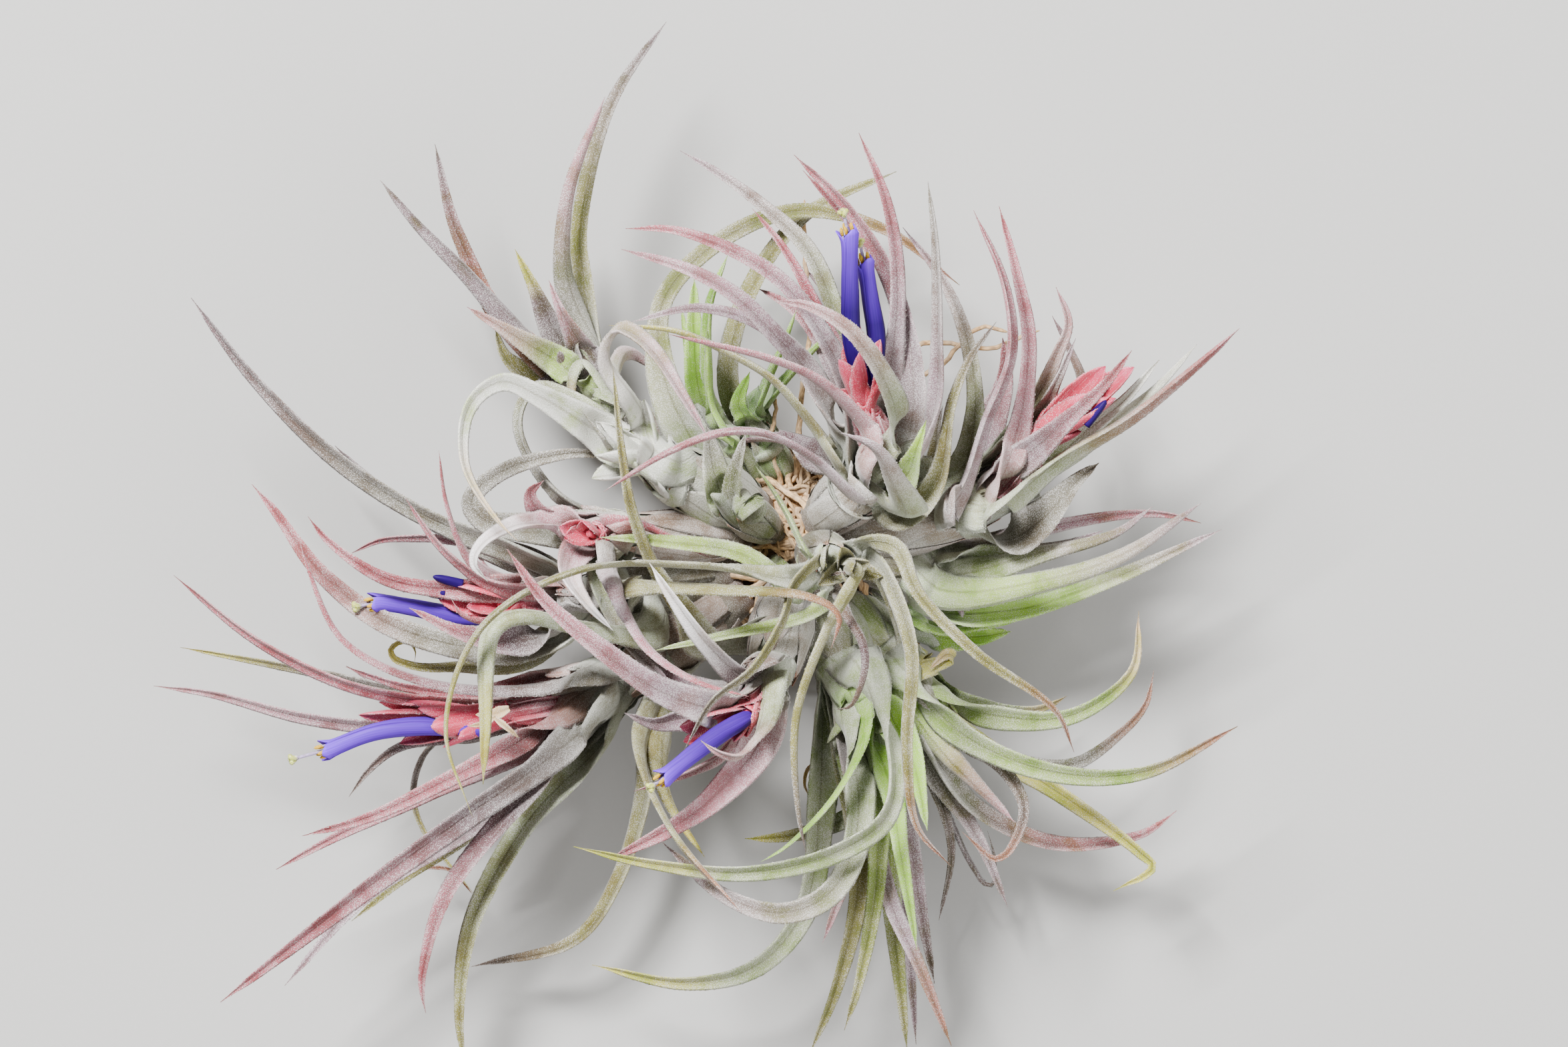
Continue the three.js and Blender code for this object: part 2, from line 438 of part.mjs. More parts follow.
function widthAt(t, width) {
  const sheath = Math.max(SHEATH_WIDTH - width, 0) * (1 - smoothstep(t / SHEATH_END));
  return (width * 1.1 + sheath) * (1 - TIP_NARROWING * t ** 2.4);
}

// Every leaf, as a row of points with the room that it needs round each.
function growLeaves() {
  const blades = [];
  for (const [name, { foot, heart, girth, leaves, bare }] of Object.entries(rosettes)) {
    const stem = new THREE.Line3(vector(foot), vector(heart));
    const repeated = bare ? [] : leaves.filter((_, i) => i % UNDER_LEAF_STEP === 0);
    const under = repeated.map((each) => underLeaf(each, heart));
    for (const each of [...leaves, ...under]) {
      const centres = leafCentres(stem, girth, each);
      const widths = centres.map((_, i) => widthAt(i / (STATIONS - 1), each.width));
      blades.push({ owner: name, centres, widths, channelled: each.width >= CHANNELLED_WIDTH });
    }
  }
  return blades;
}

// The stems, spikes, flowers and crown, which the leaves bend round.
function fixedBeads() {
  const beads = [];
  const addRow = (owner, points, radius, count) => {
    for (const point of spacedPoints(points, count)) {
      beads.push({ owner, row: beads.length, point, reach: radius, give: 0 });
    }
  };
  for (const [name, { foot, heart, girth }] of Object.entries(rosettes)) {
    addRow(name, [vector(foot), vector(heart)], girth * 0.8, 8);
  }
  for (const { stalk, bracts } of Object.values(spikes)) {
    for (const [width, tip] of bracts) {
      addRow('flowers', [...stalk.map(vector), vector(tip)], width * 0.45, 12);
    }
  }
  for (const { route, stigma } of Object.values(flowers)) {
    addRow('flowers', [...route.map(vector), vector(stigma)], TUBE_RADIUS, 16);
  }
  for (const ends of Object.values(budTips)) {
    addRow('flowers', ends.map(vector), 1.2, 3);
  }
  return beads;
}

// Leaves that would cross are bent apart in height, the upper one up and the lower one down, and
// eased along their length. Seen from above, every leaf keeps its place.
function bendClear(blades) {
  const beads = fixedBeads();
  const firstLeafRow = beads.length;
  blades.forEach((blade, row) => {
    blade.centres.forEach((point, i) => {
      const t = i / (STATIONS - 1);
      const give = smoothstep((t - BENDING_FROM) / (BENDING_TO - BENDING_FROM));
      const reach = 0.34 * blade.widths[i] + 0.5;
      beads.push({ owner: blade.owner, row: firstLeafRow + row, point, reach, give });
    });
  });
  const meetings = findMeetings(beads, firstLeafRow);
  for (let round = 0; round < BENDING_ROUNDS; round += 1) {
    const up = new Float64Array(beads.length);
    const down = new Float64Array(beads.length);
    for (const { high, low, need } of meetings) {
      const short = need - (beads[high].point.z - beads[low].point.z);
      if (short > 0) {
        const share = beads[high].give / (beads[high].give + beads[low].give);
        up[high] = Math.max(up[high], short * share);
        down[low] = Math.max(down[low], short * (1 - share));
      }
    }
    beads.forEach((bead, i) => {
      const floor = Math.max(bead.reach * 0.7 + FLOOR_GAP - bead.point.z, 0);
      up[i] = (up[i] - down[i]) * 0.6 + (bead.give > 0 ? floor : 0);
    });
    for (let first = firstLeafRow; first < beads.length; first += STATIONS) {
      for (let i = first; i < first + STATIONS; i += 1) {
        const before = up[Math.max(i - 1, first)];
        const after = up[Math.min(i + 1, first + STATIONS - 1)];
        beads[i].point.z += beads[i].give * (0.25 * before + 0.5 * up[i] + 0.25 * after);
      }
    }
  }
}

// Pairs of points of different rows that lie over each other, with the height that they need between
// them. Which of two rows passes over the other is settled once, from where they start.
function findMeetings(beads, firstLeafRow) {
  const meetings = [];
  const lead = new Map();
  for (let a = 0; a < beads.length; a += 1) {
    for (let b = Math.max(a + 1, firstLeafRow); b < beads.length; b += 1) {
      const one = beads[a];
      const two = beads[b];
      const sameOwner = one.owner === two.owner;
      if (one.row === two.row || one.give + two.give === 0 || (sameOwner && one.give * two.give === 0)) {
        continue;
      }
      const reach = (one.reach + two.reach) * (sameOwner ? 0.95 : 1) + CLEARANCE;
      const apart = Math.hypot(one.point.x - two.point.x, one.point.y - two.point.y);
      if (apart < reach) {
        const rows = `${one.row} ${two.row}`;
        lead.set(rows, (lead.get(rows) ?? 0) + one.point.z - two.point.z);
        meetings.push({ high: a, low: b, need: Math.sqrt(reach * reach - apart * apart), rows });
      }
    }
  }
  for (const meeting of meetings) {
    if (lead.get(meeting.rows) < 0) {
      [meeting.high, meeting.low] = [meeting.low, meeting.high];
    }
  }
  return meetings;
}

function solidFrom(positions, indices) {
  const mesh = new wasm.Mesh({
    numProp: 3,
    vertProperties: new Float32Array(positions),
    triVerts: new Uint32Array(indices),
  });
  return new wasm.Manifold(mesh);
}

function geometryFrom(solid) {
  const { vertProperties, triVerts } = solid.getMesh();
  const geometry = new THREE.BufferGeometry();
  geometry.setAttribute('position', new THREE.BufferAttribute(new Float32Array(vertProperties), 3));
  geometry.setIndex(new THREE.BufferAttribute(new Uint32Array(triVerts), 1));
  return geometry;
}

// A closed solid through rings of points, each ring turning the same way, with a point at its far
// end where one is given.
function loft(rings, apex) {
  const sides = rings[0].length;
  const points = rings.flat();
  const faces = [];
  for (let i = 0; i < rings.length - 1; i += 1) {
    for (let k = 0; k < sides; k += 1) {
      const a = i * sides + k;
      const b = i * sides + ((k + 1) % sides);
      if (k % 2 === 0) {
        faces.push([a, a + sides, b + sides], [a, b + sides, b]);
      } else {
        faces.push([a, a + sides, b], [b, a + sides, b + sides]);
      }
    }
  }
  const last = (rings.length - 1) * sides;
  for (let k = 2; k < sides; k += 1) {
    const next = (k + 1) % sides;
    faces.push([1, k, next]);
    if (!apex) {
      faces.push([last + 1, last + next, last + k]);
    }
  }
  if (apex) {
    const tip = points.push(apex) - 1;
    for (let k = 0; k < sides; k += 1) {
      faces.push([last + k, tip, last + ((k + 1) % sides)]);
    }
  }
  return solidFrom(points.flatMap((point) => point.toArray()), faces.flat());
}

// Directions along a row of points, and facing directions carried along them without twist.
function frames(points, facing) {
  const tangents = points.map((_, i) => {
    const before = points[Math.max(i - 1, 0)];
    const after = points[Math.min(i + 1, points.length - 1)];
    return after.clone().sub(before).normalize();
  });
  const normals = [];
  let normal = facing.clone();
  for (const tangent of tangents) {
    normal = normal.clone().addScaledVector(tangent, -normal.dot(tangent)).normalize();
    normals.push(normal);
  }
  return { tangents, normals };
}

// A point off a centre, some way along each of two directions.
function offset(centre, across, side, normal, height) {
  return centre.clone().addScaledVector(across, side).addScaledVector(normal, height);
}

// The channelled face of a leaf turns to the stem's axis, and leans towards the light.
function leafFacing(centres, axis) {
  const outer = Math.round(centres.length * 0.35);
  const tangent = centres[outer + 1].clone().sub(centres[outer - 1]).normalize();
  const facing = axis.clone().addScaledVector(tangent, -axis.dot(tangent));
  facing.z += facing.z > -0.15 ? 0.6 : -0.6;
  return facing;
}

// How many of a leaf's stations its facets need, from how much it bends.
function facetStations(centres) {
  let bend = 0;
  for (let i = 1; i < centres.length - 1; i += 1) {
    const before = centres[i].clone().sub(centres[i - 1]);
    const after = centres[i + 1].clone().sub(centres[i]);
    bend += before.angleTo(after);
  }
  const wanted = Math.round(THREE.MathUtils.radToDeg(bend) / DEGREES_PER_FACET) + 2;
  const facets = THREE.MathUtils.clamp(wanted, FEWEST_FACETS, MOST_FACETS);
  return Array.from({ length: facets + 1 }, (_, k) => Math.round((k * (centres.length - 1)) / facets));
}

// A pointed blade through its sections: two edges, the keel outside and, if it has one, the channel
// inside. With a margin it is the room round the blade, with the channel filled.
function bladeSolid(points, facing, sections, margin) {
  const { tangents, normals } = frames(points, facing);
  const last = points.length - 1;
  const rings = sections.map(({ half, edge, keel, channel }, k) => {
    const centre = points[k].clone().addScaledVector(tangents[k], k === 0 ? -margin : 0);
    const across = tangents[k].clone().cross(normals[k]);
    const at = (side, height) => offset(centre, across, side, normals[k], height);
    if (margin > 0) {
      const room = margin * EDGE_ROOM;
      return [at(-half - room, edge), at(0, keel - margin), at(half + room, edge), at(0, edge + room)];
    }
    const ring = [at(-half, edge), at(0, keel), at(half, edge)];
    return channel === undefined ? ring : [...ring, at(0, channel)];
  });
  const apex = points[last].clone().addScaledVector(tangents[last], margin * TIP_ROOM);
  return loft(rings, apex);
}

function leafSolid({ centres, widths, channelled, axis }, margin) {
  const picked = facetStations(centres);
  const sections = picked.slice(0, -1).map((i) => {
    const roll = widths[i] * LEAF_ROLL;
    const thickness = THREE.MathUtils.lerp(LEAF_THICKNESS, TIP_THICKNESS, i / (centres.length - 1));
    const keel = -roll * 0.6;
    const edge = channelled ? roll * 0.4 : keel + thickness;
    return { half: widths[i] / 2, edge, keel, channel: channelled ? keel + thickness : undefined };
  });
  return bladeSolid(picked.map((i) => centres[i]), leafFacing(centres, axis), sections, margin);
}

// A round or petalled rod along a route; radii are given evenly along it.
function rod(points, radii, sides, steps, margin = 0, ribs = 0) {
  const centres = spacedPoints(points, steps + 1);
  const { tangents, normals } = frames(centres, new THREE.Vector3(0.3, 0.2, 1));
  centres[0].addScaledVector(tangents[0], -margin);
  centres[steps].addScaledVector(tangents[steps], margin);
  const rings = centres.map((centre, i) => {
    const along = (i / steps) * (radii.length - 1);
    const from = Math.min(Math.floor(along), radii.length - 2);
    const radius = THREE.MathUtils.lerp(radii[from], radii[from + 1], along - from) + margin;
    const across = tangents[i].clone().cross(normals[i]);
    return Array.from({ length: sides }, (_, k) => {
      const angle = (k / sides) * 2 * Math.PI;
      const reach = radius * (1 + ribs * Math.cos(3 * angle));
      return offset(centre, across, Math.cos(angle) * reach, normals[i], Math.sin(angle) * reach);
    });
  });
  return loft(rings);
}

// A bract: a short pointed leaf, broadest near its foot, hollow towards the stalk.
function bractSolid(stalk, width, tip, margin) {
  const shares = [0, 0.4, 0.75, 1];
  const breadths = [0.6, 1, 0.7];
  const [foot, top] = stalk.map(vector);
  const shoulder = foot.clone().lerp(top, 0.8).lerp(vector(tip), 0.08);
  const curve = new THREE.CatmullRomCurve3([foot, shoulder, vector(tip)], false, 'centripetal');
  const points = shares.map((share) => curve.getPointAt(BRACT_START + (1 - BRACT_START) * share));
  const axis = top.clone().sub(foot).normalize();
  const inward = top.clone().sub(vector(tip));
  inward.addScaledVector(axis, -inward.dot(axis));
  const sections = breadths.map((breadth) => {
    const roll = width * breadth * LEAF_ROLL;
    const keel = -roll * 0.5;
    return { half: (width * breadth) / 2, edge: roll * 0.5, keel, channel: keel + BRACT_THICKNESS };
  });
  return bladeSolid(points, inward, sections, margin);
}

const union = (solids) => solids.reduce((whole, solid) => whole.add(solid));

// A cut solid's biggest body, with its closest vertices joined. Scraps that a cut has left loose are
// dropped, and a crevice that joining vertices has sealed is filled.
function cleaned(solid) {
  const welded = mergeVertices(geometryFrom(solid), WELD_DISTANCE);
  const bodies = solidFrom(welded.attributes.position.array, welded.index.array).decompose();
  return bodies.reduce((best, body) => (body.volume() > best.volume() ? body : best));
}

function rosetteSolid(name, blades, margin) {
  const { foot, heart, girth } = rosettes[name];
  const axis = vector(heart).sub(vector(foot)).normalize();
  const inner = vector(heart).addScaledVector(axis, girth * 1.5);
  const radii = [0.6, 0.9, 0.9, 0.12].map((share) => share * girth);
  const bulb = rod([vector(foot), vector(heart), inner], radii, 6, 3, margin);
  const own = blades.filter((blade) => blade.owner === name);
  return union([bulb, ...own.map((blade) => leafSolid({ ...blade, axis }, margin))]);
}

function spikeSolid({ stalk, radius, bracts }, margin) {
  const [foot, top] = stalk.map(vector);
  const tip = top.clone().lerp(foot, -0.5);
  const core = rod([foot, top, tip], [radius * 0.7, radius * 1.1, radius * 0.6], 5, 2, margin);
  return union([core, ...bracts.map(([width, point]) => bractSolid(stalk, width, point, margin))]);
}

// The mouth end of a flower and the direction that it opens in.
function mouthOf({ route, stigma }) {
  const mouth = vector(route[route.length - 1]);
  return { mouth, outward: vector(stigma).sub(mouth).normalize() };
}

// Three petals rolled into a tube, with their tips turned a little outwards at the mouth.
function petalSolid({ route, stigma }, margin) {
  const { mouth, outward } = mouthOf({ route, stigma });
  const rim = mouth.clone().addScaledVector(outward, 1.2);
  const radii = [0.6, 1, 1, 0.95, 1.3].map((share) => share * TUBE_RADIUS);
  return rod([...route.map(vector), rim], radii, 6, 4, margin, 0.08);
}

// The style, from inside the mouth to its three-lobed stigma.
function styleSolid({ route, stigma }, margin) {
  const { mouth, outward } = mouthOf({ route, stigma });
  const start = mouth.clone().addScaledVector(outward, -MOUTH_DEPTH);
  const end = vector(stigma);
  const neck = end.clone().addScaledVector(outward, -STIGMA_RADIUS);
  const top = end.clone().addScaledVector(outward, STIGMA_RADIUS * 0.6);
  const stalk = rod([start, end], [STYLE_RADIUS, STYLE_RADIUS], 5, 1, margin);
  const radii = [0.4, 1, 0.6].map((share) => share * STIGMA_RADIUS);
  return stalk.add(rod([neck, end, top], radii, 6, 2, margin, 0.25));
}

// The stamens stand beside the style, with their anthers just out of the mouth.
function stamenSolid({ route, stigma }, margin) {
  const { mouth, outward } = mouthOf({ route, stigma });
  const distance = STYLE_RADIUS + ANTHER_RADIUS + CLEARANCE;
  const beside = new THREE.Vector3(0, 0, 1).cross(outward).setLength(distance);
  const start = mouth.clone().add(beside).addScaledVector(outward, -MOUTH_DEPTH * 0.5);
  const end = mouth.clone().add(beside).addScaledVector(outward, ANTHER_LENGTH);
  const radii = [0.7, 0.75, 1.1, 0.6].map((share) => share * ANTHER_RADIUS);
  return rod([start, end], radii, 5, 3, margin);
}

function budSolid([from, to], margin) {
  return rod([vector(from), vector(to)], [BUD_RADIUS, BUD_RADIUS * 0.9, BUD_RADIUS * 0.4], 6, 2, margin);
}

// The woody crown: an uneven lump, flat where it rests.
function crownLump() {
  const sphere = new THREE.SphereGeometry(1, 11, 7);
  sphere.deleteAttribute('normal');
  sphere.deleteAttribute('uv');
  const lump = mergeVertices(sphere);
  const positions = lump.attributes.position;
  for (let i = 0; i < positions.count; i += 1) {
    const point = new THREE.Vector3().fromBufferAttribute(positions, i);
    const swell = 0.94 + 0.06 * Math.sin(5 * point.x + 1.3) * Math.cos(4 * point.y - 0.7);
    point.multiplyScalar(swell).multiply(CROWN_RADII).add(CROWN_CENTRE);
    point.z = Math.max(point.z, 0);
    positions.setXYZ(i, ...point.toArray());
  }
  return solidFrom(positions.array, lump.index.array);
}

// The crown with a tangle of wiry roots winding over it, and a few that stand out loose.
function crownSolid() {
  const random = randomFrom(SEED);
  const radii = [ROOT_RADIUS * 1.5, ROOT_RADIUS, ROOT_RADIUS];
  const roots = looseRoots.map((route) => rod([CROWN_CENTRE, ...route.map(vector)], radii, 3, 8));
  for (let n = 0; n < ROOT_COUNT; n += 1) {
    const turn = ((n + random() * 0.7) / ROOT_COUNT) * 2 * Math.PI;
    const sweep = (random() - 0.5) * 2.4;
    const standOff = 1.03 + random() * 0.13;
    const route = [];
    for (let share = 0; share <= 1; share += 0.25) {
      const angle = turn + sweep * share + (random() - 0.5) * 0.3;
      const lean = 0.9 + 0.85 * share + (random() - 0.5) * 0.2;
      const point = new THREE.Vector3().setFromSphericalCoords(share === 0 ? 0.8 : standOff, lean, angle);
      point.set(point.x, point.z, point.y).multiply(CROWN_RADII).add(CROWN_CENTRE);
      point.z = Math.max(point.z, ROOT_RADIUS * 1.5);
      route.push(point);
    }
    roots.push(rod(route, radii, 3, 4));
  }
  return union([crownLump(), ...roots]);
}

function meshFrom(name, solid, colour, roughness) {
  const geometry = geometryFrom(solid);
  geometry.computeVertexNormals();
  const material = new THREE.MeshStandardMaterial({ color: colour, roughness, metalness: 0 });
  const mesh = new THREE.Mesh(geometry, material);
  mesh.name = name;
  return mesh;
}

const blades = growLeaves();
bendClear(blades);

// Pieces in the order in which they are cut clear: each keeps off all that come before it.
const pieces = [];
const addPiece = (name, build, colour, roughness) => pieces.push({ name, build, colour, roughness });
for (const [name, flower] of Object.entries(flowers)) {
  addPiece(`style_${name}`, (margin) => styleSolid(flower, margin), STIGMA_CREAM, 0.5);
  addPiece(`stamens_${name}`, (margin) => stamenSolid(flower, margin), ANTHER_YELLOW, 0.7);
  addPiece(`petals_${name}`, (margin) => petalSolid(flower, margin), PETAL_VIOLET, 0.4);
}
for (const [name, ends] of Object.entries(budTips)) {
  addPiece(name, (margin) => budSolid(ends, margin), PETAL_VIOLET, 0.4);
}
for (const [name, spike] of Object.entries(spikes)) {
  addPiece(name, (margin) => spikeSolid(spike, margin), BRACT_PINK, 0.6);
}
for (const [name, { colour }] of Object.entries(rosettes)) {
  addPiece(name, (margin) => rosetteSolid(name, blades, margin), colour, 0.75);
}
addPiece('root_crown', crownSolid, ROOT_TAN, 0.9);

const clump = new THREE.Group();
const clearances = [];
for (const { name, build, colour, roughness } of pieces) {
  const whole = clearances.reduce((solid, taken) => solid.subtract(taken), build(0));
  clump.add(meshFrom(name, cleaned(whole), colour, roughness));
  clearances.push(build(CUT_ALLOWANCE));
}

export default clump;
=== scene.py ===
"""A flowering clump of a narrow-leaved air plant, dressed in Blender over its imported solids.

The tables are in millimetres, in the clump's own frame: seen from straight above, +X is its right side
and +Y its top, and +Z comes up from the floor that it lies on.
"""

import math

import bpy
import numpy as np
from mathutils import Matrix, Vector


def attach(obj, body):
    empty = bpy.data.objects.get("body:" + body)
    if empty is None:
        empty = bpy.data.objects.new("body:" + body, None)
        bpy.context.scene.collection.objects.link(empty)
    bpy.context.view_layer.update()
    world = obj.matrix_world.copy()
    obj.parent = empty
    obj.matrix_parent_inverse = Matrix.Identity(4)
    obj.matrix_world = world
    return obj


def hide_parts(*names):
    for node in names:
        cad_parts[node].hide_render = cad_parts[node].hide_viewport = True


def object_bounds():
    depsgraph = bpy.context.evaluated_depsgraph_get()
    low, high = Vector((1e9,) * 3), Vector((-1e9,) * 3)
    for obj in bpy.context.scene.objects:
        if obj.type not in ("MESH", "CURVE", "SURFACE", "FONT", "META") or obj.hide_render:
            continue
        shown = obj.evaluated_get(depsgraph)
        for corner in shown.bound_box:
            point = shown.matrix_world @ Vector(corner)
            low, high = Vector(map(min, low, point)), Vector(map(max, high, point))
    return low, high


bl_info = {
    "name": "Flowering air plant clump",
    "version": (1, 0, 0),
    "blender": (4, 5, 0),
    "location": "3D View > Sidebar > Air plant",
    "description": "Grows the leaves, flowers and roots of an air plant clump over its solids",
    "category": "Object",
}

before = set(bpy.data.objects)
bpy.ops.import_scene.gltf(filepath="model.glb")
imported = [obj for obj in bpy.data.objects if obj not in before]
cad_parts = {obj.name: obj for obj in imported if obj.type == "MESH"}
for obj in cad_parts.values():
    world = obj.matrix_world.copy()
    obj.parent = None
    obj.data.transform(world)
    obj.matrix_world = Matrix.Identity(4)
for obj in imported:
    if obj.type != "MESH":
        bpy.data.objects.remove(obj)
CAD_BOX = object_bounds()

MM = 0.001
SEED = 11
GOLDEN_ANGLE = math.pi * (3 - math.sqrt(5))
CURVE_STEPS = 200  # in which a curve's length is measured

# The view
PICTURE_WIDTH = 2349  # pixels
PIXEL = 0.15  # millimetres, at the leaves' middle height
FRAME_CENTRE = (-0.8 * MM, 6.9 * MM, 45 * MM)
SENSOR_WIDTH = 36
KEY_LIGHT_SIZE = 0.5  # metres, as is its place
KEY_LIGHT_PLACE = (-0.6, 0.95, 1.5)
FILL_LIGHT_SIZE = 1.2
FILL_LIGHT_PLACE = (1.1, -0.7, 1.2)
ROOM_COLOUR = (1.0, 0.99, 0.97, 1.0)

# Leaf growth, as in the solids
STATIONS = 24  # points along a leaf while it is bent clear of the others
STEM_SETBACK = 7  # how far below its blade a leaf clasps the stem
SHEATH_SEAT = 0.45  # how far out of the stem's middle a leaf is seated, as a share of the girth
SHEATH_WIDTH = 5.4  # of the clasping leaf base
SHEATH_END = 0.35  # where the sheath has narrowed to the blade, along the leaf
TIP_NARROWING = 0.86  # how much of its width a leaf has lost at the tip
UNDER_LEAF_STEP = 5  # every so many leaves there is one on the underside
UNDER_LEAF_SCALE = 0.84  # the leaves of the underside against those above them
CLEARANCE = 0.3  # between leaves that cross
FLOOR_GAP = 0.2  # under the lowest leaves
BENDING_ROUNDS = 90
BENDING_STEP = 0.6  # how much of the missing height each round makes up
BENDING_FROM = 0.02  # a leaf is stiff up to here along its length
BENDING_TO = 0.12  # and bends freely from here on
STEM_REACH = 0.8  # how far the leaves keep off a stem, as a share of its girth
BRACT_REACH = 0.45  # and off a bract, as a share of its width
BUD_REACH = 1.2  # and off a closed bud
BLADE_REACH = 0.34  # and off one another, as a share of their widths
BLADE_SPARE = 0.5  # with so much to spare
LIGHT_LEAN = 0.6  # how far the channel of a leaf leans up towards the light
TUBE_RADIUS = 2.15  # of a flower

# Finer leaves
LEAF_RINGS = 56
OUTSIDE = np.linspace(-1, 1, 9)  # the places of a blade's points, from edge to edge round its outside
CHANNEL = np.linspace(0.88, -0.88, 7)  # and back through its channel
CLASPING_INSIDE = np.linspace(0.9, -0.9, 7)  # the same, inside a sheath or a petal
LEAF_ROLL = (0, 0.2, 0.6, 1), (0.8, 0.95, 1.15, 1.5)  # how far a leaf's edges roll in along it
ROLLED_LENGTH = 40  # shorter leaves roll less
SHORT_POINT = 0.93  # where a leaf starts to draw to its short point
TIP_FULLNESS = 0.3  # how much wider a narrow fine leaf is than its solid, towards its tip
FULL_WIDTHS = (3.5, 7)  # leaves up to the first are so much fuller, from the second on not at all
UNDER_LEAF_SHOWN = 0.7  # how much of each underside leaf the finer form keeps
SHEATH_TAPER = 34  # how far above the bulb a leaf's broad base narrows to its blade
SHEATH_THICKNESS = 0.6
SHEATH_LIFT = 0.3  # how far the innermost sheath lies over the bulb
SHEATH_LAYER = 0.05  # how far each leaf's sheath lies over the next one
SHEATH_SUNK = 1.6  # how deep in the bulb a sheath starts
CLASP_REACH = 5  # how near the bulb a leaf has to be to clasp it
MOST_TWIST = 2.2  # of a blade where it leaves the bulb
EDGE_SCALES = 0.45  # share of the standing scales that line a blade's edges
SCALE_CORNERS = (0.5, 2.6, 4.7)  # where the foot of a standing scale has its corners, as turns

# Bulbs
BULB_PROFILE = (0, 1 / 3, 2 / 3, 1), (0.6, 0.88, 0.62, 0.1)  # its radius, as a share of the girth
BULB_OVERRUN = 1.5  # how far it runs on past the heart, in girths
BULB_CORE = 0.93  # its solid core, as a share of that radius
LEAF_SEAT = 0.97  # and the seat of its leaves
BULB_RINGS = 16
OLD_LEAVES = 9  # round each bulb
OLD_LEAF_REACH = 0.6  # of the bulb's length
OLD_LEAF_SPREAD = 0.18  # how much of the bulb lies between the lowest and the highest of them
YOUNG_LEAVES = 6  # in the heart of a rosette without a spike
REMAINS_RINGS = 20
REMAINS_PROFILE = (0, 0.3, 0.8, 1), (0.5, 1, 0.6, 0.08)
REMAINS_SECTION = (0.9, 0.25, 0.5)  # roll, thickness, and how much of its depth lies under its line

# Flowers
BRACT_PROFILE = (0, 0.15, 0.4, 0.65, 0.82, 0.94, 1), (0.4, 0.95, 1.4, 1.35, 1.05, 0.55, 0.05)
BRACT_SECTION = (1.5, 0.7, 0.4)  # as for remains
BRACT_STOPS = (0, 0.3, 0.75, 1)  # of its shades
BRACT_RINGS = 22
LOWER_BRACTS = 7
STALK_PROFILE = (0, 0.5, 1), (0.3, 0.65, 0.3)
STALK_RINGS = 12
PETAL_STOPS = (0, 0.15, 0.55, 0.88, 1)
PETAL_PROFILE = (0, 0.25, 0.5, 0.8, 0.92, 1), (0.6, 0.95, 1, 0.86, 0.9, 1.25)
PETAL_RINGS = 30
PETAL_SPAN = 1.3  # how far a petal reaches round the tube, each way
PETAL_THICKNESS = 0.32
PETAL_TIP = 1.9  # how far the petals reach past the mouth
PETALS_HIDDEN = 2  # how far they reach back between the bracts
PETALS_SINK = 4  # and how far down there
BUD_RADIUS = 1.1
BUD_RINGS = 18
STYLE_RADII = (0.42, 0.36)
STYLE_RINGS = 14
STYLE_HIDDEN = 4  # how far the style reaches back into the tube
LOBE_RISE = np.array((-0.9, 0, 0.6, 0.8, 0.4))  # of a stigma's lobe, along the style
LOBE_SPREAD = np.array((0.1, 0.35, 0.6, 0.85, 1))  # and away from it
LOBE_CURL = 1.9  # how far it turns round the style
LOBE_PROFILE = (0, 0.5, 0.85, 1), (0.3, 0.6, 0.55, 0.2)
LOBE_RINGS = 12
LOBE_SCALES = 50
STAMENS = ((0, 1.35), (1.25, 1.3), (2.5, 1.35), (3.9, 1.3), (5.1, 1.35))  # turn and reach of each
FILAMENT_RADIUS = 0.22
ANTHER_RADIUS = 0.38
ANTHER_RINGS = 10
ROD_FACING = (0.3, 0.2, 1)  # the side that a rod's rings start from; no rod runs along it

# Roots
CROWN_RINGS = 30
CROWN_SIDES = 48
ROOT_SIDES = 8
LOOSE_ROOT_RINGS = 44
WOUND_ROOT_RINGS = 34
TANGLE_ROOT_RINGS = 40
TANGLE_ROOTS = 44
TANGLE_CENTRE = (0, 11)  # seen from above
TANGLE_SPREAD = (12, 13)  # each way from there

# Finishes, their grain in cells or waves for each metre
RUBBED_GRAIN = 150.0  # patches where the pale scales are rubbed off
SCALE_GRAIN = 3700.0  # the pale scales themselves
BARK_GRAIN = 260.0
FLOOR_GRAIN = 900.0


def leaf(tints, width, heights, *route, slim=1.0):
    """A leaf: its body and tip tints, its width, its base, middle and tip heights and its route.

    Slim is how much of its width the finer leaf keeps beyond its base.
    """
    return {"tints": tints.split(), "width": width, "heights": heights, "route": route, "slim": slim}


def rosette(foot, heart, girth, leaves, bare=False, clasp=1.0, longer=0.0):
    """A rosette, from its foot on the root crown out to its heart; girth is its bulb's radius.

    A bare one has no leaves on its underside; clasp says how far its leaf bases reach round the bulb;
    its fine leaves are longer than the solid ones by so much.
    """
    return {
        "foot": foot, "heart": heart, "girth": girth, "leaves": leaves, "bare": bare, "clasp": clasp,
        "longer": longer,
    }


